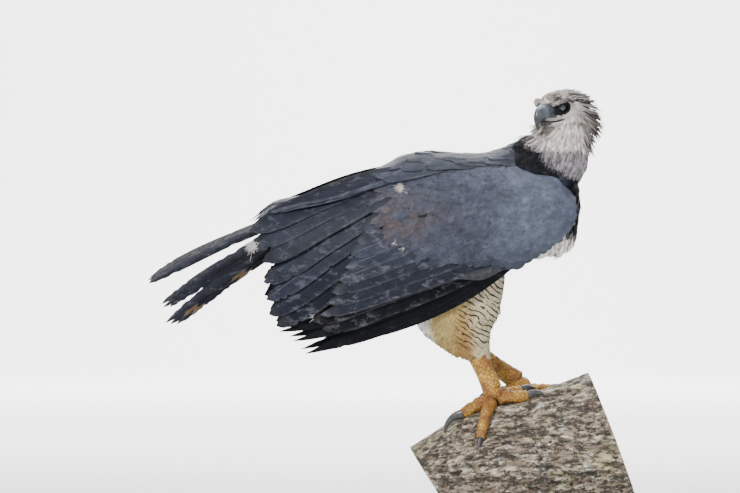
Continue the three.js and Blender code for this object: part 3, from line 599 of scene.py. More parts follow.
def ringShape(cols, thick):
    # across positions from -1 to 1 over the top and back underneath, with the half thickness
    s = np.linspace(-1, 1, cols)
    s = np.sign(s) * np.sin(np.abs(s) * np.pi / 2) ** 0.45
    s = np.concatenate([s, s[-2:0:-1]])
    face = np.concatenate([np.ones(cols), -np.ones(cols - 2)])
    return s, face * thick * (1 - s**2) ** 0.5


def shortFeathers(setName, at, normal, along, length, width, look, rootUv, rng, shape="round",
                  rows=5, cols=3, thick=0.35, lift=0.10, hug=0.12, camber=0.12, sink=0.06, curl=0.0):
    # small body feathers: root + along * t + a rise off the skin that bends back towards it
    count = len(at)
    one = lambda v: np.broadcast_to(np.asarray(v, float), (count,))[:, None, None, None]
    along = unit(along - np.sum(along * normal, -1, keepdims=True) * normal)
    side = np.cross(along, normal)
    t = np.linspace(0, 1, rows) ** 0.85
    s, rise = ringShape(cols, thick)
    wide = lineAt(shapes[shape], t)
    seed = rng.random(count)
    bend = one(curl) * rng.normal(0, 1, count)[:, None, None, None]
    tGrid, sGrid = t[None, :, None, None], s[None, None, :, None]
    wGrid = wide[None, :, None, None]
    reach, halfWide = one(length), one(width) / 2
    forward = along[:, None, None] * reach * tGrid
    across = side[:, None, None] * (halfWide * wGrid * sGrid + bend * reach * tGrid**2)
    up = normal[:, None, None] * (reach * (one(lift) * tGrid - one(hug) * tGrid**2 - sink * (1 - tGrid))
                                  - camber * halfWide * wGrid * sGrid**2
                                  + rise[None, None, :, None] * (1 - 0.7 * tGrid))
    store(setName, at[:, None, None] + forward + across + up, t, s, seed, look, rootUv, rows, cols)


def dress(setName, pieceName, material):
    # the gathered feathers become one piece that rides on the root
    data = coat[setName]
    join = lambda key: np.concatenate(data[key])
    piece = meshFrom(pieceName, join("points"), join("quads"), join("tris"))
    for key in ("tint", "tipTint", "barTint", "marks"):
        addColour(piece, key, join(key))
    addVector(piece, "feather", join("feather"))
    addUv(piece, "OFBake", join("uv"))
    # the two faces of a vane meet in a sharp edge, so that its face isn't shaded round
    ends = np.zeros(len(piece.data.edges) * 2, np.int32)
    piece.data.edges.foreach_get("vertices", ends)
    rim = np.abs(join("feather")[:, 1])[ends.reshape(-1, 2)].min(1) > 0.995
    piece.data.attributes.new("sharp_edge", "BOOLEAN", "EDGE").data.foreach_set("value", rim)
    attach(piece, root)
    piece.data.materials.append(material)
    print(pieceName, len(piece.data.polygons), "faces")
    return piece


# surfaces of the body
trunk = {
    "rear": -300.0, "front": 180.0,
    "back": [[-300, 424], [-250, 443], [-180, 473], [-100, 488], [0, 489], [80, 494], [130, 490],
             [160, 470], [174, 440], [180, 400]],
    "belly": [[-300, 386], [-250, 360], [-180, 322], [-100, 296], [0, 288], [60, 286], [130, 294],
              [158, 308], [174, 336], [180, 365]],
    "halfWidth": [[-300, 22], [-250, 42], [-180, 64], [-100, 84], [0, 92], [80, 88], [130, 74],
                  [160, 54], [174, 34], [180, 12]],
}
neck = {
    # the last station lies inside the skull
    "path": [[60, 0, 420], [98, 0, 470], [132, 0, 512], [146, -4, 556], [141, -14, 590]],
    "back": [70, 72, 60, 48, 32], "front": [80, 87, 81, 56, 28], "side": [84, 77, 63, 45, 24],
}
skull = {
    "rear": -84.0, "front": 44.0,
    "top": [[-84, 4], [-72, 20], [-52, 33], [-28, 40], [-4, 39], [14, 36], [30, 29], [44, 17]],
    "bottom": [[-84, -16], [-72, -38], [-52, -46], [-28, -44], [-4, -37], [14, -31], [30, -26], [44, -20]],
    "halfWidth": [[-84, 8], [-72, 26], [-52, 36], [-28, 38], [-4, 34], [14, 29], [30, 21.5], [44, 14]],
}
legs = {
    "right": {
        "thigh": [[-58, -38, 300], [-62, -40, 250], [-64, -42, 200], [-56, -44, 154], [-41, -46, 116],
                  [-23, -48, 84]],
        "heel": (-29, -48, 102), "ball": (5, -52, 22), "toes": {1: 176, 2: 32, 3: -2, 4: -112},
    },
    "left": {
        "thigh": [[-62, 38, 300], [-66, 40, 250], [-68, 42, 204], [-60, 43, 160], [-46, 43, 124],
                  [-32, 42, 94]],
        "heel": (-32, 42, 98), "ball": (62, 44, 37), "toes": {1: 214, 2: 20, 3: 56, 4: 100},
    },
}
# how far the thigh reaches from its path, at even steps from the hip to the heel
thigh = {"fore": [92, 93, 89, 79, 52, 29], "aft": [96, 100, 98, 80, 48, 21],
         "across": [34, 34, 34, 33, 29, 21]}


def spindle(shape, x, angle, inset):
    # a body that lies along x between an upper and a lower line: angle 0 is the top
    high, low = lineAt(shape["top"], x) - inset, lineAt(shape["bottom"], x) + inset
    wide = np.maximum(lineAt(shape["halfWidth"], x) - inset, 1)
    return np.stack([x, wide * np.sin(angle), (high + low) / 2 + (high - low) / 2 * np.cos(angle)], -1)


trunkShape = {"top": trunk["back"], "bottom": trunk["belly"], "halfWidth": trunk["halfWidth"]}


def stationOf(shape, a, inset):
    # x by a from rear to front, with the stations closer together near both ends
    return mix(shape["rear"] + inset, shape["front"] - inset, (1 - np.cos(np.pi * np.clip(a, 0, 1))) / 2)


def trunkAt(a, b, inset=0.0):
    # a runs from rear to front, b once round from the back
    x = stationOf(trunk, a, inset)
    return spindle(trunkShape, x, 2 * np.pi * b, inset)


def skullAt(a, b, inset=0.0):
    # as trunkAt, in the head's own frame and then moved to the head's place
    x = stationOf(skull, a, inset)
    return fromHead(spindle(skull, x, 2 * np.pi * b, inset))


def columnAt(points, back, front, side, a, b, inset=0.0):
    # as limbRings, for any a along the path and b round it
    centre, backwards, sideways, _ = frameAlong(points, a, (0, 1, 0))
    c, n = np.cos(2 * np.pi * b), np.sin(2 * np.pi * b)
    reach = np.where(c > 0, listAt(back, a), listAt(front, a)) - inset
    return centre + backwards * (c * reach)[..., None] + sideways * (n * (listAt(side, a) - inset))[..., None]


def neckAt(a, b, inset=0.0):
    # a runs up the neck, b once round from the nape
    return columnAt(neck["path"], neck["back"], neck["front"], neck["side"], a, b, inset)


def thighAt(name):
    # a runs down the leg, b once round from the front
    points = legs[name]["thigh"]
    return lambda a, b, inset=0.0: columnAt(points, thigh["fore"], thigh["aft"], thigh["across"], a, b, inset)


wing = {
    "front": 168.0,
    "top": [[-484, 332], [-400, 380], [-300, 432], [-200, 474], [-100, 496], [0, 494], [80, 478], [140, 446],
            [168, 404]],
    "bottom": [[-484, 270], [-430, 150], [-370, 96], [-330, 102], [-210, 134], [-140, 154], [-62, 190],
               [-16, 212], [20, 244], [60, 274], [107, 304], [146, 338], [168, 372]],
    "reach": [[-484, 76], [-400, 85], [-300, 92], [-200, 103], [-100, 114], [0, 117], [80, 110], [140, 90],
              [168, 62]],
    "topRound": [[-484, 0.22], [-400, 0.42], [-300, 0.58], [-200, 0.66], [-100, 0.76], [80, 0.78]],
    "edgeRound": 0.2, "belt": 0.45, "farLift": 0.8, "farPivot": (100.0, 400.0),
}


def wingOut(x, z):
    # how far the folded wing stands out from the midline at x, z of the side view
    top, bottom = lineAt(wing["top"], x), lineAt(wing["bottom"], x)
    belt = mix(bottom, top, wing["belt"])
    reach = lineAt(wing["reach"], x)
    above = np.clip((z - belt) / (top - belt), 0, 1.3)
    below = np.clip((belt - z) / (belt - bottom), 0, 1.3)
    return reach * (1 - lineAt(wing["topRound"], x) * above**2.4 - wing["edgeRound"] * below**2)


def wingPoint(x, z, lift, sign):
    # right wing for sign -1; the left one is its mirror, raised a little at the tail end
    d = 4.0
    dx = (wingOut(x + d, z) - wingOut(x - d, z)) / (2 * d)
    dz = (wingOut(x, z + d) - wingOut(x, z - d)) / (2 * d)
    normal = unit(np.stack([-dx, np.full_like(dx, -1.0), -dz], -1))
    p = np.stack([x, -wingOut(x, z), z], -1) + normal * np.asarray(lift)[..., None]
    if sign > 0:
        angle = math.radians(wing["farLift"])
        px, pz = wing["farPivot"]
        qx, qz = p[..., 0] - px, p[..., 2] - pz
        p = np.stack([px + qx * math.cos(angle) + qz * math.sin(angle), -p[..., 1],
                      pz - qx * math.sin(angle) + qz * math.cos(angle)], -1)
        normal = normal * np.array([1, -1, 1])
    return p, normal


def inSpindle(shape, p, rear, front, inset):
    # inside the oval that the lines of the body give at the point's x
    x = p[..., 0]
    high, low, wide = (lineAt(shape[key], x) for key in ("top", "bottom", "halfWidth"))
    upShare = (p[..., 2] - (high + low) / 2) / ((high - low) / 2 - inset)
    sideShare = p[..., 1] / (wide - inset)
    return (upShare**2 + sideShare**2 < 1) & (x > rear) & (x < front)


def inTrunk(p, inset=0.0):
    # inside the trunk
    return inSpindle(trunkShape, p, trunk["rear"], trunk["front"], inset)


neckLine, neckWay = pathAt(neck["path"], np.linspace(0, 1, 40))


def inNeck(p, inset=0.0):
    # inside the oval round the nearest place of the neck's path
    gap = p[:, None] - neckLine[None]
    i = np.argmin(np.linalg.norm(gap, axis=-1), 1)
    t = i / (len(neckLine) - 1)
    d = gap[np.arange(len(p)), i]
    backwards = np.cross(neckWay[i], [0, 1, 0])
    c = np.sum(d * backwards, -1)
    reach = np.where(c > 0, listAt(neck["back"], t), listAt(neck["front"], t)) - inset
    n = d[:, 1] / (listAt(neck["side"], t) - inset)
    beyond = np.abs(np.sum(d * neckWay[i], -1)) > 6
    return ((c / reach) ** 2 + n**2 < 1) & ~beyond


def inSkull(p, inset=0.0):
    # inside the skull
    return inSpindle(skull, toHead(p), skull["rear"], skull["front"], inset)


def scatterRows(surface, rowCount, across, rng, aRange=(0.0, 1.0), bRange=(0.0, 1.0), jitter=0.3):
    # staggered rows of root places on a surface; across is the gap between feathers in millimetres
    places = []
    for i, a in enumerate(np.linspace(*aRange, rowCount)):
        fine = np.linspace(*bRange, 64)
        ring = surface(np.full(64, a), fine)
        length = np.concatenate([[0], np.cumsum(np.linalg.norm(np.diff(ring, axis=0), axis=1))])
        count = max(3, int(length[-1] / across))
        want = (np.arange(count) + 0.5 * (i % 2) + rng.uniform(-jitter, jitter, count)) / count * length[-1]
        b = np.interp(want % length[-1], length, fine)
        step = (aRange[1] - aRange[0]) / max(rowCount - 1, 1)
        places.append(np.stack([np.full(count, a) + rng.uniform(-jitter, jitter, count) * step, b], -1))
    places = np.concatenate(places)
    return np.clip(places[:, 0], 0.002, 0.998), places[:, 1]


def onSurface(surface, a, b, inset=0.0):
    # the point at a, b and the normal there, from two small steps each way
    e = 2e-3
    p = surface(a, b, inset)
    pa = surface(np.clip(a + e, 0, 1), b, inset) - surface(np.clip(a - e, 0, 1), b, inset)
    pb = surface(a, b + e, inset) - surface(a, b - e, inset)
    return p, unit(np.cross(pa, pb))


def outward(p, normal, centre):
    # the normal turned to point away from the centre
    return normal * np.sign(np.sum((p - centre) * normal, -1, keepdims=True))


# the part of the UV square that each coat has: left, bottom, width, height
uvRooms = {"head": (0.02, 0.02, 0.28, 0.22), "neck": (0.34, 0.02, 0.28, 0.22),
           "trunk": (0.66, 0.02, 0.30, 0.30),
           "thighright": (0.02, 0.28, 0.28, 0.20), "thighleft": (0.34, 0.28, 0.28, 0.20),
           "wingright": (0.02, 0.52, 0.45, 0.24), "wingleft": (0.50, 0.52, 0.45, 0.24),
           "tail": (0.02, 0.80, 0.50, 0.16), "crest": (0.56, 0.80, 0.38, 0.16)}


def roomUv(room, a, b):
    # a and b from 0 to 1 inside the room's part of the square
    x, y, w, h = uvRooms[room]
    return np.stack([x + w * np.clip(a, 0, 1), y + h * (np.asarray(b) % 1.0)], -1)


def sideUv(room, x, z):
    # the same by places in the side view, in millimetres
    return roomUv(room, (x + 500) / 680, (z - 90) / 420)


# markings shared by skin and coat
def toneMix(*pairs):
    # colours laid one over another by masks
    colour = None
    for mask, name in pairs:
        layer = dye(name)
        if colour is None:
            colour = np.broadcast_to(layer, (*np.shape(mask), 3))
        else:
            colour = mix(colour, layer, np.asarray(mask)[..., None])
    return colour


def trunkTint(p):
    # slate back, black breast band, white belly
    x, y, z = p[..., 0], p[..., 1], p[..., 2]
    patch = fractal(p / 26.0, 3) * 10
    back = smooth(z + patch * 0.5, 400, 424) * smooth(-x + (z - 420) * 0.8, -150, -110)
    band = smooth(x + patch, 60, 92) * smooth(z + patch + (x - 100) * 0.1, 330, 352)
    return toneMix((x * 0 + 1, "white"), (band, "black"), (back, "slate"))


def neckTint(p):
    # white throat, ash-grey below, slate hind neck and black lower edge
    x, y, z = p[..., 0], p[..., 1], p[..., 2]
    patch = fractal(p / 16.0, 3) * 9
    low = smooth(-(z + patch), -456, -440)
    ash = smooth(-(z + patch * 0.6), -508, -499)
    rear = smooth(-(x - 150) + (505 - z) * 1.1 + patch, 50, 74)
    return toneMix((x * 0 + 1, "paleGrey"), (ash, "neck"), (low, "black"), (rear, "hind"))


def skullTint(p):
    # pale face and throat, brown-grey streaked crown, dusky lores
    q = toHead(p)
    x, y, z = q[..., 0], q[..., 1], q[..., 2]
    patch = fractal(p / 9.0, 3)
    crown = smooth(z + patch * 4 + x * 0.06, 17, 27) * 0.55
    lores = smooth(x + patch * 2, 14, 20) * smooth(z, -16, -10) * smooth(-z, -21, -16)
    around = smooth(-np.hypot(x - 8, z - 9) + patch, -21, -15) * smooth(np.abs(y), 12, 18)
    nape = smooth(-x + patch * 6, 44, 66) * 0.4
    throat = smooth(-(z + patch * 3), 12, 24) * 0.7
    return toneMix((x * 0 + 1, "paleGrey"), (throat, "white"), (crown, "crown"), (nape, "grey"),
                   (lores, "lores"), (around, "bar"))


print("surfaces ready")


# skin: one closed surface under the whole coat
def gridOf(surface, rowCount, cols, inset):
    # rings of a surface, evenly by a and b
    a = np.repeat(np.linspace(0, 1, rowCount)[:, None], cols, 1)
    b = np.repeat(np.linspace(0, 1, cols, endpoint=False)[None], rowCount, 0)
    return surface(a.ravel(), b.ravel(), inset).reshape(rowCount, cols, 3)


def mergedSkin(name, ringSets, voxel):
    # closed bodies made one closed surface, by cells of the voxel's size, and smoothed a little
    points, quads, tris, count = [], [], [], 0
    for rings in ringSets:
        ringQuads, ringTris = closedFaces(*rings.shape[:2], count)
        quads.append(ringQuads)
        tris.append(ringTris)
        points.append(withEnds(rings))
        count += len(points[-1])
    rough = meshFrom("rough", np.concatenate(points), np.concatenate(quads), np.concatenate(tris))
    modifier = rough.modifiers.new("join", "REMESH")
    modifier.mode = "VOXEL"
    modifier.voxel_size = voxel
    modifier.use_smooth_shade = True
    soften = rough.modifiers.new("soften", "SMOOTH")
    soften.iterations = 4
    view = bpy.context.evaluated_depsgraph_get()
    mesh = bpy.data.meshes.new_from_object(rough.evaluated_get(view))
    bpy.data.objects.remove(rough)
    mesh.name = name
    piece = bpy.data.objects.new(name, mesh)
    bpy.context.scene.collection.objects.link(piece)
    return piece


def placesOf(piece):
    # the piece's points in millimetres from the foot point
    co = np.zeros(len(piece.data.vertices) * 3, np.float32)
    piece.data.vertices.foreach_get("co", co)
    return (co.reshape(-1, 3) - footPoint) * 1000


def thighTint(p):
    # pale in front, olive cream over the calf, partly painted shade, fluffy white behind
    patch = fractal(p / 18.0, 2) * 8
    # the olive cream over the rear of the leg is partly painted shade
    cream = smooth(p[..., 0] + patch, -140, -112)
    pale = smooth(p[..., 0] + patch, -62, -22)
    return toneMix((cream * 0 + 1, "white"), (cream, "cream"), (pale, "linen"))


def bodyTint(p):
    # the marking of whichever part of the body the point lies nearest
    colour = trunkTint(p)
    colour = mix(colour, neckTint(p), smooth(p[..., 2] + p[..., 0] * 0.3, 490, 515)[..., None])
    colour = mix(colour, skullTint(p), smooth(p[..., 2], 528, 548)[..., None])
    leg = smooth(-p[..., 2], -300, -270)[..., None]
    return mix(colour, thighTint(p), leg)


skinSets = [gridOf(trunkAt, 60, 48, 8), gridOf(neckAt, 40, 40, 8), gridOf(skullAt, 40, 40, 4),
            gridOf(thighAt("right"), 40, 28, 8), gridOf(thighAt("left"), 40, 28, 8)]
skin = mergedSkin("skin", skinSets, 0.0035)
addColour(skin, "tint", bodyTint(placesOf(skin)))


mottled = {
    # scale and detail of the mottle, dark and light end, roughness, specular, relief and its depth;
    # where the ends are numbers they are shares of the mesh's own tint
    "skin": (160.0, 5.0, 0.45, 0.85, 0.9, 0.5, 0.6, 0.002),
    "arm": (120.0, 5.0, (0.012, 0.013, 0.016), (0.045, 0.047, 0.055), 0.75, 0.5, 0.6, 0.002),
    "face": (420.0, 4.0, 0.6, 1.25, [(0.3, 0.42), (0.7, 0.6)], 0.15, 0.4, 0.0005),
}


def mottledMaterial(name):
    # cloudy from the dark end to the light one, with relief from the same clouds
    scale, detail, low, high, roughness, specular, bump, depth = mottled[name]
    material, tree, shader = newMaterial(name + "Finish")
    mottle = noise(tree, scale, detail, 0.6, objectPlace(tree))
    colour = ramp(tree, mottle, [(0.3, low), (0.7, high)])
    if isinstance(low, float):
        colour = dimmed(tree, attribute(tree, "tint"), colour)
    gloss = ramp(tree, mottle, roughness) if isinstance(roughness, list) else roughness
    fillAll(tree, shader, {"Base Color": colour, "Roughness": gloss, "Specular IOR Level": specular})
    bumpInto(tree, shader, mottle, bump, depth)
    return material


settle(skin, ["head", "neck", "chest", "belly", "rump", "thigh_right", "thigh_left"],
       mottledMaterial("skin"))
print("skin", len(skin.data.polygons))


# body coat
def lookOf(tint, tipTint=None, barTint=None, barAmount=0.0, barCount=0.3, wear=0.3):
    # a look for each feather: colours at root and tip, bars, and wear; one value may stand for all
    tint = np.asarray(tint, float)
    count = len(tint)
    level = lambda v: np.broadcast_to(np.asarray(v, float), (count,))
    return {"tint": tint, "tipTint": tint if tipTint is None else np.broadcast_to(tipTint, tint.shape),
            "barTint": np.broadcast_to(plumage["bar"] if barTint is None else barTint, tint.shape),
            "marks": np.stack([level(barAmount), level(barCount), level(wear)], -1)}


coatSizes = {
    # rows along the surface, gap between feathers, their length and width
    "trunk": {"rows": 84, "gap": 7.5, "length": 32, "width": 13},
    "neck": {"rows": 54, "gap": 5.4, "length": 24, "width": 8.5},
    "head": {"rows": 60, "gap": 2.7, "length": 10.5, "width": 3.6},
    "thigh": {"rows": 50, "gap": 5.4, "length": 27, "width": 8.5},
}


def clothe(setName, surface, room, sizes, way, tintOf, hidden, rng, inset=5.0, bRange=(0.0, 1.0), **shape):
    # short feathers all over a surface, apart from where hidden says, laid the way that way gives
    a, b = scatterRows(surface, sizes["rows"], sizes["gap"], rng, (0.01, 0.99), bRange)
    p, n = onSurface(surface, a, b, inset)
    centre = (surface(a, b) + surface(a, b + 0.5)) / 2
    n = outward(p, n, centre)
    keep = ~hidden(p)
    a, b, p, n = a[keep], b[keep], p[keep], n[keep]
    along = way(p) + rng.normal(0, 0.10, p.shape)
    count = len(p)
    length = sizes["length"] * rng.uniform(0.82, 1.18, count) * sizes.get("scale", lambda q: 1.0)(p)
    width = sizes["width"] * rng.uniform(0.85, 1.15, count) * sizes.get("wide", lambda q: 1.0)(p)
    ends = p + unit(along) * length[:, None] * 0.7
    look = tintOf(ends, rng)
    shortFeathers(setName, p, n, along, length, width, look, roomUv(room, a, b), rng, **shape)


def trunkWay(p):
    # backwards and a little down, more so at the breast
    return np.stack([-np.ones(len(p)), 0 * p[:, 0], -0.25 - 0.5 * smooth(p[:, 0], 60, 150)], -1)


def downNeck(p):
    # down the column, turning back towards the shoulders at its foot
    low = smooth(-p[:, 2], -500, -430)
    return np.stack([-0.35 - 0.5 * low, 0 * low, -1 + 0.4 * low], -1)


def headWay(p):
    # back from the bill, down over the throat, parting at the face
    q = toHead(p)
    flat = np.stack([-np.ones(len(p)), np.sign(q[:, 1]) * 0.25 * smooth(q[:, 0], 0, 30),
                     -0.35 * smooth(-q[:, 2], -12, 14)], -1)
    return flat @ headMatrix.T


def underWing(p):
    # the part of the trunk that the folded wings cover
    x, y, z = p[:, 0], np.abs(p[:, 1]), p[:, 2]
    low, high = lineAt(wing["bottom"], x) + 26, lineAt(wing["top"], x) - 34
    return (z > low) & (z < high) & (x < 138) & (y > 28)


def inThighs(p):
    # inside the oval round the leg's path at the point's height
    hit = np.zeros(len(p), bool)
    for name in ("right", "left"):
        line, _ = pathAt(legs[name]["thigh"], np.linspace(0, 1, 24))
        gap = p[:, None] - line[None]
        i = np.argmin(np.abs(gap[..., 2]), 1)
        d = gap[np.arange(len(p)), i]
        t = i / (len(line) - 1)
        foreShare = d[:, 0] / (listAt(thigh["fore"], t) - 8)
        sideShare = d[:, 1] / (listAt(thigh["across"], t) - 6)
        hit |= foreShare**2 + sideShare**2 < 1
    return hit & (p[:, 2] < 300)


def trunkLook(p, rng):
    # the trunk's marking, with darker tips where it is dark
    colour = trunkTint(p)
    pale = smooth(colour.mean(-1), 0.3, 0.6)
    tip = np.where(pale[:, None] > 0.5, colour, colour * 0.75)
    return lookOf(colour, tip, wear=0.25 * (1 - pale) + 0.05)


def neckLook(p, rng):
    # the neck's marking, one feather in four darker
    colour = neckTint(p)
    some = rng.random(len(p)) < 0.25
    colour = np.where(some[:, None], colour * 0.55, colour)
    return lookOf(colour, colour * rng.uniform(0.7, 1.15, len(p))[:, None], wear=0.15)


def headLook(p, rng):
    # the head's marking, streaked dark on crown and nape
    q = toHead(p)
    colour = skullTint(p)
    nape = smooth(-q[:, 0], 30, 58)
    crown = smooth(q[:, 2] + 0.25 * np.abs(q[:, 1]), 17, 28)
    dark = np.clip(0.75 * nape + 0.8 * crown, 0, 0.9) * (rng.random(len(p)) < 0.46)
    colour = mix(colour, dye("brownBlack"), (0.8 * dark)[:, None])
    tip = mix(colour, dye("bar"), dark[:, None])
    bright = np.minimum(colour * rng.uniform(0.98, 1.28, len(p))[:, None], 0.93)
    return lookOf(bright, tip, barAmount=0, barCount=0.12, wear=0.0)


def thighLook(p, rng):
    # barred over the front half, plain cream behind that is partly painted shade, stained above the heel
    colour = thighTint(p)
    barred = smooth(p[:, 0], -78, -54) * smooth(p[:, 2], 96, 124)
    stain = smooth(-p[:, 2], -235, -100) * np.exp(-((p[:, 0] + 52) / 26) ** 2)
    colour = mix(colour, dye("stain"), (0.75 * stain)[:, None])
    return lookOf(colour * rng.uniform(0.90, 1.06, len(p))[:, None], None, plumage["brownBlack"],
                  barAmount=0.95 * barred, barCount=0.16, wear=0.0)


def behind(p, start, end):
    # 0 to 1 by how far the point lies behind the head's middle
    return smooth(-toHead(p)[:, 0], start, end)


coatRng = np.random.default_rng(11)
coatSizes["neck"]["scale"] = lambda p: np.where(p[:, 2] > 504, np.clip((p[:, 2] - 497) / 22, 0.45, 1.4),
                                                1 + 0.5 * smooth(-p[:, 2], -480, -440))
coatSizes["head"]["scale"] = lambda p: 0.62 + 1.5 * behind(p, -10, 66)
coatSizes["head"]["wide"] = lambda p: 0.75 + 0.9 * behind(p, 0, 66)
coatSizes["thigh"]["scale"] = lambda p: 0.5 + 0.5 * smooth(p[:, 2], 104, 190)
clothe("trunk", trunkAt, "trunk", coatSizes["trunk"], trunkWay, trunkLook,
       lambda p: inNeck(p, 14) | inThighs(p) | underWing(p), coatRng,
       inset=3, lift=0.18, hug=0.16, curl=0.05, thick=0.3)
clothe("neck", neckAt, "neck", coatSizes["neck"], downNeck, neckLook,
       lambda p: inTrunk(p, 16) | inSkull(p, 16), coatRng, inset=5, lift=0.15, hug=0.14, curl=0.05,
       thick=0.28)


def bareFace(p):
    # no feathers on the eyes, the bare skin between eye and bill, and the bill itself
    q = toHead(p)
    x, y, z = q[:, 0], np.abs(q[:, 1]), q[:, 2]
    eye = np.hypot((x - 8) * 0.73, (z - 8) * 1.10) < 14.4
    lore = (x > 12) & (z > -16) & (z < 18 - 0.2 * (x - 15))
    return ((eye | lore) & (y > 11)) | (x > 35) | inNeck(p, 16)


clothe("head", skullAt, "head", coatSizes["head"], headWay, headLook, bareFace, coatRng,
       inset=2.5, lift=0.15, hug=0.14, curl=0.05, thick=0.22, shape="lance")
# hair-thin feathers that loosen the outline of crown, nape and throat
strandSizes = {"rows": 40, "gap": 5.0, "length": 20, "width": 1.5,
               "scale": lambda p: 0.5 + 1.5 * behind(p, -14, 60)}
throatStrands = {"rows": 30, "gap": 6.5, "length": 30, "width": 2.0}
clothe("strands", skullAt, "head", strandSizes, headWay, headLook, bareFace, coatRng,
       inset=1.5, lift=0.26, hug=0.16, curl=0.16, thick=0.3, shape="hair", rows=6)
clothe("strands", neckAt, "neck", throatStrands, downNeck, neckLook,
       lambda p: inTrunk(p, 12) | inSkull(p, 6) | (p[:, 2] < 532), coatRng,
       inset=5, lift=0.26, hug=0.18, curl=0.14, thick=0.3, shape="hair", rows=6)
# loose feathers that stand off the side of the neck below the crest
ruff = {"tries": 2400, "kept": 0.22, "round": (0.40, 0.62), "from": 516, "to": 590,
        "length": (20, 38), "width": (2.2, 4.6), "dark": 0.35}
ruffRng = np.random.default_rng(45)
ruffA, ruffB = ruffRng.random(ruff["tries"]), ruffRng.uniform(*ruff["round"], ruff["tries"])
ruffAt, ruffNormal = onSurface(neckAt, ruffA, ruffB, 6.0)
near = (ruffAt[:, 2] > ruff["from"]) & (ruffAt[:, 2] < ruff["to"]) & ~inSkull(ruffAt, 6)
near = near & (ruffRng.random(ruff["tries"]) < ruff["kept"])
ruffAt = ruffAt[near]
ruffNormal = outward(ruffAt, ruffNormal[near], ruffAt * np.array([0, 0, 1.0]) + np.array([150.0, 0, 0]))
ruffCount = len(ruffAt)
ruffTone = dye("paleGrey") * ruffRng.uniform(0.35, 0.9, (ruffCount, 1))
ruffTone[ruffRng.random(ruffCount) < ruff["dark"]] = dye("brownBlack") * 1.8
ruffWay = np.array([0.25, 0, -1.0]) + ruffRng.normal(0, 0.12, (ruffCount, 3))
shortFeathers("strands", ruffAt, ruffNormal, ruffWay, ruffRng.uniform(*ruff["length"], ruffCount),
              ruffRng.uniform(*ruff["width"], ruffCount), lookOf(ruffTone, ruffTone * 0.35),
              roomUv("neck", ruffA[near], ruffB[near]), ruffRng, shape="lance",
              rows=8, thick=0.3, lift=0.42, hug=0.06, curl=0.12)
print("ruff", ruffCount)
for legName in ("right", "left"):
    clothe("thigh" + legName, thighAt(legName), "thigh" + legName, coatSizes["thigh"],
           lambda p: np.stack([-0.18 + 0 * p[:, 0], 0 * p[:, 0], -np.ones(len(p))], -1), thighLook,
           lambda p: inTrunk(p, 20) | (p[:, 2] > 330) | (p[:, 2] < 97), coatRng,
           inset=3, lift=0.14, hug=0.15, curl=0.06, shape="lance", rows=6)
bodyCoat = dress("trunk", "coat_trunk", vaneFinish)
neckCoat = dress("neck", "coat_neck", downFinish)
dress("strands", "coat_strands", downFinish)
headCoat = dress("head", "coat_head", downFinish)
for legName in ("right", "left"):
    dress("thigh" + legName, "coat_thigh_" + legName, thighFinish)
print("body coat ready")


# wings
tiers = {
    # roots and tips are places in the side view; lift is the height over the wing's surface at root and tip
    "primaries": {
        "count": 5, "half": 13.5, "ragged": 0.05, "lift": (-6, -8), "deepen": 1.4, "tilt": 0.12, "sag": -14,
        "rows": 56, "shape": "pointed", "roots": [[-60, 262], [-20, 266], [30, 278], [66, 288], [80, 292]],
        "tips": [[-424, 140], [-398, 121], [-373, 95], [-331, 102], [-262, 122]],
    },
    "secondaries": {
        "count": 6, "half": 26, "lift": (0, 0.6), "deepen": 1.0, "tilt": 0.15, "sag": 5, "rows": 72,
        "roots": [[-150, 427], [-150, 410], [-125, 390], [-100, 366], [-44, 282], [-10, 262]],
        "tips": [[-449, 240], [-447, 206], [-439, 176], [-427, 153], [-356, 164], [-330, 146]],
    },
    "tertials": {
        "count": 3, "half": 24, "lift": (3, 3.6), "deepen": -0.4, "tilt": 0.12, "sag": 6, "rows": 64,
        "roots": [[-160, 470], [-150, 460], [-150, 444]], "tips": [[-476, 341], [-476, 306], [-456, 281]],
    },
    "greaterCoverts": {
        "count": 9, "half": 19, "lift": (4.4, 3.0), "deepen": 0, "tilt": 0.08, "sag": 4, "rows": 36,
        "roots": [[-120, 420], [-60, 380], [-10, 340], [50, 300]],
        "tips": [[-238, 366], [-264, 322], [-292, 262], [-322, 210], [-338, 176]],
    },
    "medianCoverts": {
        "count": 11, "half": 17, "lift": (6.0, 4.2), "deepen": 0, "tilt": 0.04, "sag": 4, "rows": 28,
        "roots": [[-40, 452], [10, 410], [60, 360], [104, 322]],
        "tips": [[-222, 396], [-220, 350], [-176, 312], [-84, 286], [4, 274]],
    },
}


def placesFor(points, count):
    # one place for each feather where the list gives as many, else even steps on a smooth line
    p = np.array([[x, 0, z] for x, z in points], float)
    return p if len(p) == count else pathAt(p, np.linspace(0, 1, count))[0]


def raggedEdge(t, s, count, rng, often, tip):
    # share of the half width left where barbs have parted, more often towards the tip
    chance = (often + tip * smooth(t, 0.84, 0.97))[None, :, None]
    nick = np.where(rng.random((count, len(t), 2)) < chance, rng.uniform(0.10, 0.34, (count, len(t), 2)), 0.0)
    nick = nick * (t > 0.55)[None, :, None]
    atEdge = np.clip(np.abs(s) * 2.2 - 1.2, 0, 1)[None, None]
    return 1 - np.where(s[None, None] < 0, nick[..., :1], nick[..., 1:]) * atEdge


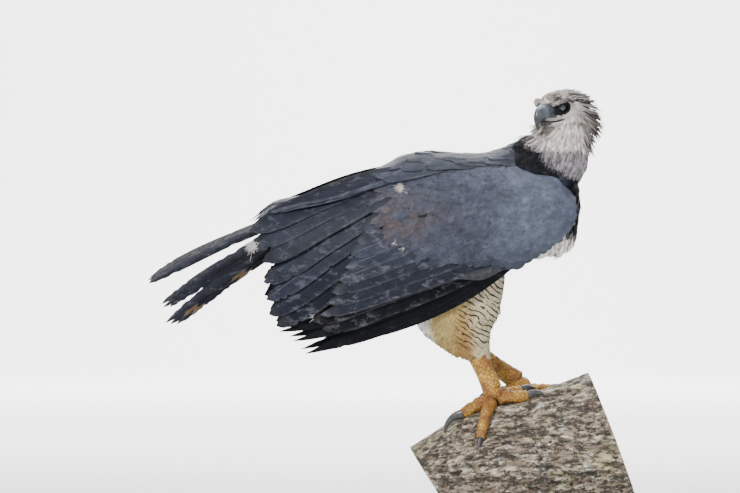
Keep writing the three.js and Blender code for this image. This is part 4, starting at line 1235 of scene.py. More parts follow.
def wingQuills(setName, room, tier, sign, look, rng, cols=7):
    # long feathers whose shafts run from root to tip over the wing's surface, each over the next one below
    count, rowCount = tier["count"], tier["rows"]
    f = np.linspace(0, 1, count)
    roots, tips = placesFor(tier["roots"], count), placesFor(tier["tips"], count)
    tips[:, 0] += rng.normal(0, 2, count)
    t = np.linspace(0, 1, rowCount)
    s, rise = ringShape(cols, 0.35)
    run = tips - roots
    down = unit(np.stack([-run[:, 2], 0 * run[:, 0], run[:, 0]], -1))
    outline = lineAt(shapes[tier.get("shape", "blunt")], t)
    wide = outline[None] * tier["half"] * rng.uniform(0.94, 1.06, count)[:, None]
    tGrid, sGrid = t[None, :, None], s[None, None, :]
    out = wide[..., None] * sGrid * raggedEdge(t, s, count, rng, 0.025, tier.get("ragged", 0.30))
    # the upper vane draws in before the lower one, so that the tip is cut slantwise
    out = out * np.where(sGrid < 0, 1 - 0.45 * smooth(tGrid, 0.82, 0.99), 1.0)
    bow = tier["sag"] * np.sin(np.pi * tGrid) * -1.0
    x = roots[:, 0, None, None] + run[:, 0, None, None] * tGrid + down[:, 0, None, None] * (out + bow)
    z = roots[:, 2, None, None] + run[:, 2, None, None] * tGrid + down[:, 2, None, None] * (out + bow)
    lift = (mix(*tier["lift"], tGrid) - tier["deepen"] * np.arange(count)[:, None, None]
            - 5 * (1 - smooth(tGrid, 0, 0.22)) + tier["tilt"] * out + rise[None, None] * (1 - 0.6 * tGrid)
            - 0.02 * wide[..., None] * sGrid**2 + rng.normal(0, 0.5, count)[:, None, None] * tGrid)
    p, _ = wingPoint(x, z, lift, sign)
    seed = rng.random(count)
    rootUv = sideUv(room, roots[:, 0], roots[:, 2])
    store(setName, p, t, s, seed, look(count, f, rng), rootUv, rowCount, cols)


def slateLook(base, tip, barAmount, barCount, wear, deep=0.0):
    # deep is the share by which the lowest feathers of a tier go over to black, partly painted shade low on
    # the wing
    def make(count, f, rng):
        blackShare = (deep * smooth(f, 0.25, 0.85))[:, None]
        tone = mix(dye(base), dye("black"), blackShare) * rng.uniform(0.8, 1.25, count)[:, None]
        end = mix(dye(tip), dye("black"), blackShare) * rng.uniform(0.8, 1.2, count)[:, None]
        return lookOf(tone, end, (0.10, 0.10, 0.11), barAmount, barCount, wear)
    return make


quillLooks = {
    "primaries": slateLook("black", "black", 0.0, 0.9, 0.12),
    "secondaries": slateLook("quill", "quill", 0.0, 0.7, 0.75, 0.95),
    "tertials": slateLook("quill", "quill", 0.0, 0.7, 0.5),
    "greaterCoverts": slateLook("covert", "covert", 0.0, 0.3, 1.0, 0.45),
    # the median coverts low on the wing are black, partly painted shade
    "medianCoverts": slateLook("black", "black", 0.0, 0.3, 0.15),
}


def covertTone(p, back, rng):
    # blue-grey at the shoulder, partly painted sheen, dark slate behind, darker towards the lower edge as
    # partly painted shade, with a brown worn patch above the middle
    patch = fractal(p / 34.0, 3)
    toSlate = np.clip(back * 1.6 - 0.2 + patch * 0.45, 0, 1)
    # the paler blue-grey at the shoulder is partly painted sheen
    tone = mix(dye("slateLight"), dye("slate"), toSlate[:, None])
    # darker towards the lower edge of the wing: partly painted shade
    tone = tone * mix(0.55, 1.0, smooth(p[:, 2] + patch * 12, 268, 330))[:, None]
    worn = 0.8 * np.exp(-((p[:, 0] + 170) / 80) ** 2 - ((p[:, 2] - 396) / 36) ** 2) * smooth(patch, -0.5, 0.5)
    tone = mix(tone, dye("rust"), worn[:, None])
    return tone * rng.uniform(0.88, 1.12, len(p))[:, None]


covertSizes = {
    # at the shoulder and at the rear: gap between feathers and between rows, length, width
    "gap": (4.4, 7.6), "step": (4.8, 9.0), "length": (16, 54), "half": (4.2, 7.6),
    "rear": [[244, 96], [262, 70], [278, 44], [294, -30], [322, -130], [354, -176], [404, -192], [440, -176],
             [474, -140]],
}


def wingCoverts(setName, room, sign, rng):
    # small coverts in rows from the shoulder to the rear, which hang down over the middle of the wing
    places, x = [], 164.0
    while x > -206:
        back = smooth(-x, -150, 110)
        low = lineAt(wing["bottom"], x) + 3 + 66 * smooth(-x, -70, 150)
        high = lineAt(wing["top"], x) - mix(1, 22, smooth(-x, -120, -60))
        count = max(3, int((high - low) / mix(*covertSizes["gap"], back)))
        share = (np.arange(count) + 0.5 * (len(places) % 2) + rng.uniform(-0.35, 0.35, count)) / count
        z = low + share * (high - low)
        step = mix(*covertSizes["step"], back)
        places.append(np.stack([np.full(count, x) + rng.uniform(-0.45, 0.45, count) * step, z], -1))
        x -= step
    q = np.concatenate(places)
    q = q[q[:, 0] > lineAt(covertSizes["rear"], q[:, 1]) + rng.uniform(-12, 22, len(q))]
    count, rowCount, cols = len(q), 8, 4
    back = smooth(-q[:, 0], -150, 110)
    high, low = lineAt(wing["top"], q[:, 0]), lineAt(wing["bottom"], q[:, 0])
    level = (q[:, 1] - low) / (high - low)
    hang = np.radians(18 + 34 * np.exp(-((level - 0.55) / 0.26) ** 2) * smooth(-q[:, 0], -160, -20)
                      - 12 * smooth(-q[:, 0], 60, 190)) + rng.normal(0, 0.12, count)
    t = np.linspace(0, 1, rowCount)
    s, rise = ringShape(cols, 0.10)
    each = lambda v: np.asarray(v)[:, None, None]
    tGrid, sGrid = t[None, :, None], s[None, None, :]
    length = each(mix(*covertSizes["length"], back) * rng.uniform(0.85, 1.15, count))
    out = (lineAt(shapes["soft"], t)[None, :, None] * sGrid * each(mix(*covertSizes["half"], back))
           + each(rng.normal(0, 0.03, count)) * length * tGrid**2)
    across = each(np.cos(hang)), each(np.sin(hang))
    x = each(q[:, 0]) - across[0] * length * tGrid + across[1] * out
    z = each(q[:, 1]) - across[1] * length * tGrid - across[0] * out
    lift = (each(mix(8.6, 5.4, smooth(-q[:, 0], -120, 190))) - 0.024 * length * (1 - tGrid) + 0.02 * out
            + each(rng.normal(0, 0.06, count)) + rise[None, None] * (1 - 0.5 * tGrid))
    p, _ = wingPoint(x, z, lift, sign)
    tone = covertTone(p[:, 0, 0] * np.array([1, -sign, 1]), back, rng)
    look = lookOf(tone, tone * rng.uniform(0.95, 1.2, count)[:, None], wear=0.4)
    rootUv = sideUv(room, q[:, 0], q[:, 1])
    store(setName, p, t, s, rng.random(count), look, rootUv, rowCount, cols)


# feathers of the back, a low roof between the wings that covers where they close
roof = {
    "ridge": [[-490, 354], [-472, 367], [-454, 383], [-436, 397], [-418, 404], [-382, 410], [-310, 428],
              [-238, 458], [-202, 476], [-184, 486], [-148, 496], [-94, 495], [-4, 495], [14, 499],
              [32, 506], [50, 514], [84, 520]],
    "edge": [[-484, 334], [-397, 384], [-339, 398], [-270, 418], [-202, 440], [-150, 453], [-72, 464],
             [50, 468], [84, 468]],
    "rowStep": (11.0, 22.0), "length": (60, 235), "half": (6.0, 14.0), "across": (8, 4),
    "front": 96.0, "rear": -256.0,
}


def roofPoint(x, k, lift, sign):
    # k is 0 on the ridge and 1 at the edge, which lies over the top of the wing
    def at(x, k):
        edge = lineAt(roof["edge"], x)
        z = mix(lineAt(roof["ridge"], x), edge, np.abs(k) ** 1.6)
        return np.stack([x, -k * (wingOut(x, edge) + 5), z], -1)
    d = 1e-2
    normal = unit(np.cross(at(x + 2, k) - at(x - 2, k), at(x, k + d) - at(x, k - d)))
    normal = normal * np.sign(normal[..., 2:3])
    p = at(x, k) + normal * np.asarray(lift)[..., None]
    return p * np.array([1, -sign, 1])


def roofFeathers(setName, room, sign, rng):
    # staggered rows from front to rear, fewer and longer feathers towards the rear
    x, places = roof["front"], []
    while x > roof["rear"]:
        back = float(smooth(-x, -104, 262))
        count = int(round(mix(*roof["across"], back)))
        share = (np.arange(count) + 0.25 + 0.5 * (len(places) % 2)) / count
        k = share * 0.98 + rng.uniform(-0.06, 0.06, count)
        places.append(np.stack([np.full(count, x) + rng.uniform(-6, 6, count), k], -1))
        x -= mix(*roof["rowStep"], back)
    q = np.concatenate(places)
    count, rowCount = len(q), 25
    back = smooth(-q[:, 0], -104, 262)[:, None, None]
    t = np.linspace(0, 1, rowCount)
    s, rise = ringShape(7, 0.3)
    tGrid, sGrid = t[None, :, None], s[None, None, :]
    length = mix(*roof["length"], back) * rng.uniform(0.88, 1.08, count)[:, None, None]
    outline = lineAt(shapes["blunt"], t)[None, :, None] * sGrid
    out = outline * mix(*roof["half"], back) * raggedEdge(t, s, count, rng, 0.02, 0.2)
    x = q[:, :1, None] - length * tGrid + 0 * sGrid
    wander = 0.05 * rng.normal(0, 1, count)[:, None, None] * tGrid**2
    k = q[:, 1:, None] * (1 - 0.10 * tGrid) + out / 52 + wander
    lift = (4.2 - 3.6 * back - 3 * (1 - smooth(tGrid, 0, 0.25)) + 1.2 * tGrid + 0.07 * out
            + rise[None, None] * (1 - 0.5 * tGrid) - 0.4 * sGrid**2
            + rng.normal(0, 0.9, count)[:, None, None] * tGrid)
    tone = dye("mantle") * rng.uniform(0.7, 1.5, count)[:, None]
    store(setName, roofPoint(x, k, lift, sign), t, s, rng.random(count), lookOf(tone, tone * 1.1, wear=0.6),
          roomUv(room, (q[:, 0] + 500) / 680, 0.86 + 0.12 * q[:, 1]), rowCount, 7)


downTufts = {
    # side view place on the near wing, reach of the tuft, hairs
    "wingMark": (-176, 425, 8, 90), "secondMark": (-190, 318, 6, 9), "thirdMark": (-172, 306, 5, 7),
    "tertialTip": (-470, 310, 10, 120), "quillTip": (-352, 172, 6, 7),
}


def addDown(sign, rng):
    # thin hairs that spring every way from a few places on the wing
    for x, z, reach, count in downTufts.values():
        q = np.array([x, z]) + rng.normal(0, reach * 0.35, (count, 2))
        p, n = wingPoint(q[:, 0], q[:, 1], np.full(count, 5.5), sign)
        way = rng.normal(0, 0.7, (count, 3)) + np.array([-1.1, 0, -0.35])
        tone = dye("white") * rng.uniform(0.7, 1.0, count)[:, None]
        shortFeathers("down", p, n, way, rng.uniform(0.7, 1.9, count) * reach, 0.55, lookOf(tone, wear=0.0),
                      sideUv("wingright", q[:, 0], q[:, 1]), rng, shape="hair",
                      rows=6, cols=3, thick=0.2, lift=0.5, hug=0.2, curl=0.25)


wingSides = {"right": -1, "left": 1}
for wingName, sign in wingSides.items():
    wingRng = np.random.default_rng(21 + sign)
    room = "wing" + wingName
    for tierName, tier in tiers.items():
        wingQuills(room + "q", room, tier, sign, quillLooks[tierName], wingRng)
    wingCoverts(room + "c", room, sign, wingRng)
    roofFeathers(room + "b", room, sign, wingRng)
    quills = dress(room + "q", "wing_" + wingName + "_quills", vaneFinish)
    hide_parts("wing_" + wingName)
    dress(room + "c", "wing_" + wingName + "_coverts", covertFinish)
    dress(room + "b", "back_" + wingName + "_feathers", vaneFinish)


addDown(-1, np.random.default_rng(61))


def armRings(sign):
    # a flat closed body under the wing's feathers: an outer and an inner sheet that meet in round rims
    f = np.linspace(0, 1, 40)
    x = mix(wing["front"] - 3, -225.0, f**1.35)
    thin = smooth(x, -225, 40)
    high = lineAt(wing["top"], x) - 4
    low = lineAt(wing["bottom"], x) + mix(6, 112, smooth(-x, -90, 225))
    k = np.linspace(0, 1, 16)
    rim = np.sqrt(np.sin(np.pi * np.clip(k, 0.02, 0.98)))
    z = mix(high[:, None], low[:, None], k[None])
    xGrid = np.repeat(x[:, None], len(k), 1)
    proud = mix(-4.0, 5.0, thin)[:, None] * mix(0.35, 1, rim)[None]
    deep = mix(7.0, 24.0, thin)[:, None] * mix(0.45, 1, rim)[None]
    outer, _ = wingPoint(xGrid, z, proud, sign)
    inner, _ = wingPoint(xGrid, z, proud - deep, sign)
    return np.concatenate([outer, inner[:, ::-1]], 1)


armFinish = mottledMaterial("arm")
for wingName, sign in wingSides.items():
    arm = tubeMesh("wing_" + wingName + "_arm", armRings(sign))
    settle(arm, [], armFinish)
print("wings ready")

# tail
tail = {
    "root": (-285.0, 0.0, 402.0), "droop": 19.0, "bend": 14.0, "roll": 36.0, "length": 425.0,
    "count": 12, "spread": (5.6, 2.6), "cleft": 5.0, "width": 31.0,
}


def tailPoint(along, across, lift):
    # the point a way along the tail, across to its left and up from it; the tail bends down and rolls
    t = along / tail["length"]
    steps = 16
    p = np.broadcast_to(np.array(tail["root"]), (*along.shape, 3)).copy()
    for i in range(steps):
        angle = np.radians(tail["droop"] + tail["bend"] * t * (i + 0.5) / steps)
        p = p + np.stack([-np.cos(angle), 0 * angle, -np.sin(angle)], -1) * (along / steps)[..., None]
    angle = np.radians(tail["droop"] + tail["bend"] * t)
    roll = math.radians(tail["roll"]) * smooth(t, -0.1, 0.3)
    rise = np.stack([-np.sin(angle), 0 * angle, np.cos(angle)], -1)
    left = np.array([0.0, 1.0, 0.0])
    c, n = np.cos(roll)[..., None], np.sin(roll)[..., None]
    return p + (left * c + rise * n) * across[..., None] + (rise * c - left * n) * lift[..., None]


def tailFan(setName, fan, offset, length, half, lift, look, rng, rowCount, cols=7, shape="blunt", sink=3.0,
            ragged=0.09):
    # feathers that spread from the tail's root, each by its own angle, offset, length and height
    count = len(fan)
    t = np.linspace(0, 1, rowCount)
    s, rise = ringShape(cols, 0.4)
    tGrid, sGrid = t[None, :, None], s[None, None, :]
    col = lambda v: np.broadcast_to(np.asarray(v, float), (count,))[:, None, None]
    edge = raggedEdge(t, s, count, rng, ragged, 5 * ragged)
    out = lineAt(shapes[shape], t)[None, :, None] * col(half) * sGrid * edge
    along = -8 + (col(length) + 8) * tGrid
    across = col(offset) + np.sin(col(fan)) * along + out
    height = (col(lift) - sink * (1 - smooth(tGrid, 0, 0.2)) + rise[None, None] - 0.05 * np.abs(out)
              + rng.normal(0, 0.6, count)[:, None, None] * tGrid)
    p = tailPoint(np.broadcast_to(along, across.shape), across, np.broadcast_to(height, across.shape))
    level = np.full(count, 0.3 if length[0] > 200 else 0.7)
    rootUv = roomUv("tail", 0.1 + 0.8 * (np.arange(count) + 0.5) / count, level)
    store(setName, p, t, s, rng.random(count), look, rootUv, rowCount, cols)


tailRng = np.random.default_rng(31)
order = np.arange(tail["count"])
side = order / (tail["count"] - 1) * 2 - 1
spread = np.where(side < 0, *tail["spread"])
fan = np.radians(side * spread + np.sign(side) * tail["cleft"] - 3.2 * (side < -0.5))
tailTone = np.repeat(dye("black")[None] * 2.0, tail["count"], 0)
tailLength = 1 - 0.05 * side**2 + 0.045 * (side < -0.5) + 0.012 * tailRng.normal(0, 1, len(side))
tailLook = lookOf(tailTone, dye("quill") * 0.7, plumage["tailBar"], 0.6 * (side < -0.7), 0.36, 0.5)
tailFan("tail", fan, side * 17, tail["length"] * tailLength, tail["width"] / 2,
        5 - 1.7 * np.abs(order - (tail["count"] - 1) / 2), tailLook, tailRng, 64, ragged=0.14)
tailCoverts = ((11.0, 150.0, 9, "slate"), (8.5, 95.0, 9, "slate"), (-12.0, 165.0, 9, "white"),
               (-9.0, 110.0, 9, "white"))
for lift, reach, count, tone in tailCoverts:
    place = np.linspace(-1, 1, count)
    base = np.repeat(dye(tone)[None], count, 0) * tailRng.uniform(0.85, 1.15, (count, 1))
    tailFan("tail", np.radians(place * 8), place * 24, reach * (1 - 0.12 * np.abs(place)),
            np.full(count, 15.0), lift - np.sign(lift) * np.abs(place) * 5, lookOf(base, wear=0.3), tailRng,
            18, 5, "round", np.sign(lift) * 5, 0.05)
tailCoat = dress("tail", "tail_feathers", vaneFinish)
# white down at the root of the tail
tuft = {"count": 90, "along": (118, 11), "across": (30, 5), "length": (8, 19), "width": 0.6}
tuftRng = np.random.default_rng(33)
tuftAlong = tuftRng.normal(*tuft["along"], tuft["count"])
tuftAt = tailPoint(tuftAlong, tuftRng.normal(*tuft["across"], tuft["count"]), np.full(tuft["count"], 9.0))
tuftWay = tuftRng.normal(0, 1, tuftAt.shape) + np.array([-0.8, 0, 0])
tuftLength = tuftRng.uniform(*tuft["length"], tuft["count"])
tuftUv = roomUv("tail", tuftRng.random(tuft["count"]), np.full(tuft["count"], 0.5))
tuftUp = np.broadcast_to([0.0, -0.5, 0.86], tuftAt.shape)
shortFeathers("down", tuftAt, tuftUp, tuftWay, tuftLength, tuft["width"],
              lookOf(np.full(tuftAt.shape, 0.8), wear=0.0), tuftUv, tuftRng,
              shape="hair", rows=6, cols=3, thick=0.2, lift=0.4, hug=0.2, curl=0.25)
dress("down", "down_tufts", downFinish)
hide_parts("tail")
tailSize = lambda t: (listAt([32, 25, 13, 2], t), listAt([36, 28, 15, 2], t), listAt([40, 34, 24, 10], t))
tailPath = [[-248, 0, 404], [-285, 0, 396], [-330, 0, 378], [-368, 0, 356]]
tailRoot = tubeMesh("tail_root", limbRings(tailPath, tailSize, (0, 1, 0), 24, 28))
settle(tailRoot, [], armFinish)
print("tail ready")

# crest and nape feathers, in a band from ear to ear over the crown, longer towards both ends
crest = {"count": 420, "spread": 2.5, "length": (30, 52), "width": (2.6, 6.5), "dark": 0.4}
crestRng = np.random.default_rng(41)
even = np.linspace(-1, 1, crest["count"])
angle = np.sign(even) * np.abs(even) ** 0.8 * crest["spread"]
angle = angle + crestRng.normal(0, 0.12, crest["count"])
back = np.clip(np.abs(angle) / crest["spread"], 0, 1)
xHead = mix(-22 - 30 * smooth(back, 0.4, 0.8), -70, crestRng.random(crest["count"])) - 4 * back
crestRoot = spindle(skull, xHead, angle, 0.0)
crestWay = np.stack([-np.ones(crest["count"]), 0.45 * np.sin(angle) * back, mix(-0.42, -0.85, back**2)], -1)
crestWay += crestRng.normal(0, 0.09, crestWay.shape)
crestNormal = unit(np.stack([0 * angle - 0.1, np.sin(angle) * 0.8, np.maximum(np.cos(angle), -0.2)], -1))
crestTone = dye("paleGrey") * crestRng.uniform(0.35, 0.95, (crest["count"], 1))
crestTone[crestRng.random(crest["count"]) < crest["dark"]] = dye("brownBlack") * 1.6
crestLook = lookOf(crestTone, crestTone * 0.25 + dye("brownBlack") * 0.6, wear=0.0)
crestLength = mix(*crest["length"], crestRng.random(crest["count"])) * (1 + 0.6 * smooth(back, 0.3, 0.8))
crestWidth = mix(*crest["width"], crestRng.random(crest["count"]) ** 2)
shortFeathers("crest", fromHead(crestRoot), crestNormal @ headMatrix.T, crestWay @ headMatrix.T,
              crestLength, crestWidth, crestLook, roomUv("crest", (angle + 2.6) / 5.2, (xHead + 75) / 40),
              crestRng, shape="lance", rows=12, cols=5, thick=0.3, lift=0.12 + 0.20 * back, hug=0.05,
              camber=0.2, curl=0.10)
dress("crest", "crest_feathers", downFinish)
print("crest ready")


# bill
horn = {
    # dark and light colour, roughness and relief
    "cere": ((0.052, 0.058, 0.070), (0.098, 0.107, 0.125), 0.42, 0.35),
    "bill": ((0.045, 0.051, 0.062), (0.105, 0.115, 0.137), 0.26, 0.2),
    "claw": ((0.018, 0.018, 0.020), (0.075, 0.072, 0.072), 0.26, 0.3),
}


def hornMaterial(name, tipped=False):
    # mottled horn with fine upright streaks; the tint, where there is one, darkens it to the tip
    low, high, roughness, bump = horn[name]
    material, tree, shader = newMaterial(name + "Finish")
    mottle = noise(tree, 90.0, 5.0, 0.6, objectPlace(tree))
    fine = noise(tree, 420.0, 3.0, 0.6, objectPlace(tree, (1, 1, 0.25)))
    colour = ramp(tree, mottle, [(0.3, low), (0.7, high)])
    if tipped:
        colour = dimmed(tree, colour, attribute(tree, "tint"))
    gloss = ramp(tree, fine, [(0.3, roughness), (0.7, roughness + 0.22)])
    fillAll(tree, shader, {"Base Color": colour, "Roughness": gloss})
    bumpInto(tree, shader, plus(tree, mottle, times(tree, fine, 0.5)), bump, 0.0006)
    return material


bill = {
    # path of the upper half in the head's own frame, and radii along it: back, front and side
    "path": [[28, 0, -1], [38, 0, -1], [49, 0, -3], [57.5, 0, -10.5], [61, 0, -20], [59.5, 0, -33]],
    "sizes": ([19, 17, 15.5, 11.5, 6.5, 0.8], [15, 14, 11.5, 8.5, 5, 0.8], [14.5, 13, 11, 8, 4.6, 0.8]),
    "lowerPath": [[22, 0, -20.5], [32, 0, -20.5], [42, 0, -20], [50, 0, -18.5]],
    "lowerSizes": ([4, 4, 4, 1.5], [6.5, 6, 5, 1.5], [12.5, 11.5, 8.5, 3]),
}
hookSize = lambda t: tuple(listAt(values, t) for values in bill["sizes"])
fineHook = limbRings(bill["path"], hookSize, (0, 1, 0), 120, 72)
hookLine = pathAt(bill["path"], np.linspace(0, 1, 120))[0]
split = int(np.argmax(hookLine[:, 0] > 39))
cereRings, hornRings = fineHook[:split + 4].copy(), fineHook[split:]
# the fleshy base swells over the horn and ends in a rounded rim
along = np.linspace(0, 1, len(cereRings))
swell = 1.03 + 0.03 * np.sin(along * np.pi) - 0.03 * smooth(along, 0.8, 1.0)
centreLine = hookLine[:len(cereRings), None]
cereRings = centreLine + (cereRings - centreLine) * swell[:, None, None]
for sideOf in (-1, 1):
    # a nostril on each side
    nostril = np.array([34.5, sideOf * 13.5, 2.5])
    away = np.linalg.norm((cereRings - nostril) * np.array([1, 0.6, 0.62]), axis=-1)
    cereRings[..., 1] -= sideOf * 4.5 * np.exp(-(away / 2.3) ** 4)
cere = tubeMesh("cere_skin", fromHead(cereRings))
settle(cere, "cere", hornMaterial("cere"))
billUpper = tubeMesh("bill_upper_horn", fromHead(hornRings))
toTip = np.linspace(1.15, 0.16, len(hornRings))[:, None] ** 1.7 * np.ones((1, 72))
addColour(billUpper, "tint", np.repeat(np.concatenate([toTip.ravel(), [1.0, 0.12]])[:, None], 3, 1))
settle(billUpper, "bill_upper", hornMaterial("bill", tipped=True))
lowerSize = lambda t: tuple(listAt(values, t) for values in bill["lowerSizes"])
lowerRings = limbRings(bill["lowerPath"], lowerSize, (0, 1, 0), 60, 48)
billLower = tubeMesh("bill_lower_horn", fromHead(lowerRings))
addColour(billLower, "tint", np.full((len(billLower.data.vertices), 3), 0.35))
settle(billLower, "bill_lower", billUpper.data.materials[0])
print("bill ready")


# eyes and lids
def eyeMaterial():
    # gaze falls from 1 at the pupil's middle: pupil, streaked iris, dark rim
    material, tree, shader = newMaterial("eyeFinish")
    streak = noise(tree, 900.0, 3.0, 0.6, objectPlace(tree))
    iris = ramp(tree, streak, [(0.3, (0.006, 0.010, 0.011)), (0.7, (0.024, 0.033, 0.035))])
    stops = [(0.0, 0.0), (0.44, 0.0), (0.47, 1.0), (0.86, 1.0), (0.88, 0.0)]
    ring = ramp(tree, attribute(tree, "gaze", "Fac"), stops)
    fillAll(tree, shader, {"Base Color": mixColour(tree, ring, (0.004, 0.004, 0.004), iris),
                           "Roughness": 0.06, "Coat Weight": 0.35, "Coat Roughness": 0.02})
    return material


def cheekOut(x, z):
    # how far the side of the skull stands out at x, z of the head's own frame
    high, low = lineAt(skull["top"], x), lineAt(skull["bottom"], x)
    level = np.clip((z - (high + low) / 2) / ((high - low) / 2), -0.985, 0.985)
    return lineAt(skull["halfWidth"], x) * np.sqrt(1 - level**2) ** 0.9


face = {
    # middle of the lids, how far the lids open, how far the bare skin reaches, and the mesh
    "eyeX": 9.0, "eyeZ": 9.0, "wide": 9.6, "up": 5.4, "down": 6.6,
    "toBill": 28.0, "back": 23.0, "above": 13.0, "below": 17.5, "rows": 70, "cols": 120,
}
brow = {
    # path on the bird's left, feathers and their length
    "path": [[-14, 32.4, 17.6], [-4, 34.0, 20.2], [8, 33.6, 21.2], [20, 28.0, 19.2], [30, 21.0, 15.2],
             [36, 15.5, 12.0]],
    "count": 700, "length": (5, 14), "width": 2.3,
}
lips = {
    # line of the mouth by x and z, how far in from the cheek, and drop, radius and colour of each lip
    "x": [46.0, 38, 30, 22, 14, 7, 2], "z": [-17.5, -18.6, -19.0, -18.8, -17.8, -16.6, -15.6],
    "share": [0.62, 0.8, 1, 1, 1, 1, 1], "upper": (0.2, 1.2, "lores"), "lower": (-2.0, 0.9, "grey"),
}


def browSize(t):
    # radii above, below and to the side, thinner towards the bill and rounded at both ends
    ends = np.sin(np.pi * np.clip(t, 0.03, 0.97)) ** 0.5
    return (4.6 - 2.4 * t) * ends, (3.4 - 1.2 * t) * ends, (6.0 - 3.8 * t) * ends


def facePatch(side):
    # rings that run from under the eyelids out to the first feathers: lid roll, fold, wrinkled skin
    rho, turnRound = np.meshgrid(np.linspace(0, 1, face["rows"]), turnsOf(face["cols"]), indexing="ij")
    c, n = np.cos(turnRound), np.sin(turnRound)
    inner = 1 / np.sqrt((c / face["wide"]) ** 2 + (n / np.where(n > 0, face["up"], face["down"])) ** 2)
    outer = 1 / np.sqrt((c / np.where(c > 0, face["toBill"], face["back"])) ** 2
                        + (n / np.where(n > 0, face["above"], face["below"])) ** 2)
    r = inner + (outer - inner) * rho
    away = r - inner
    x, z = face["eyeX"] + r * c, face["eyeZ"] + r * n
    ballHigh = np.sqrt(np.maximum(bird["eyeRadius"] ** 2 - np.minimum(inner, 11.2) ** 2, 0))
    ballOut = bird["eyeAt"][1] + ballHigh - 1.2
    roll = (1.7 * np.exp(-((away - 1.6) / 1.1) ** 2) - 1.6 * np.exp(-((away - 3.8) / 1.0) ** 2)
            + 0.5 * np.exp(-((away - 5.6) / 1.0) ** 2))
    wrinkle = (0.22 * np.sin(away * 3.1 + 1.5 * np.sin(turnRound * 3)) * smooth(away, 2.2, 5)
               + 0.25 * fractal(np.stack([x, z, r * 0], -1) / 1.6, 2))
    skin = cheekOut(x, z) - 1.9 + roll + wrinkle * smooth(away, 0.5, 3) - 2.5 * smooth(rho, 0.86, 1.0)
    y = mix(ballOut, skin, smooth(away, 0.0, 1.5))
    return np.stack([x, side * y, z], -1), away, x


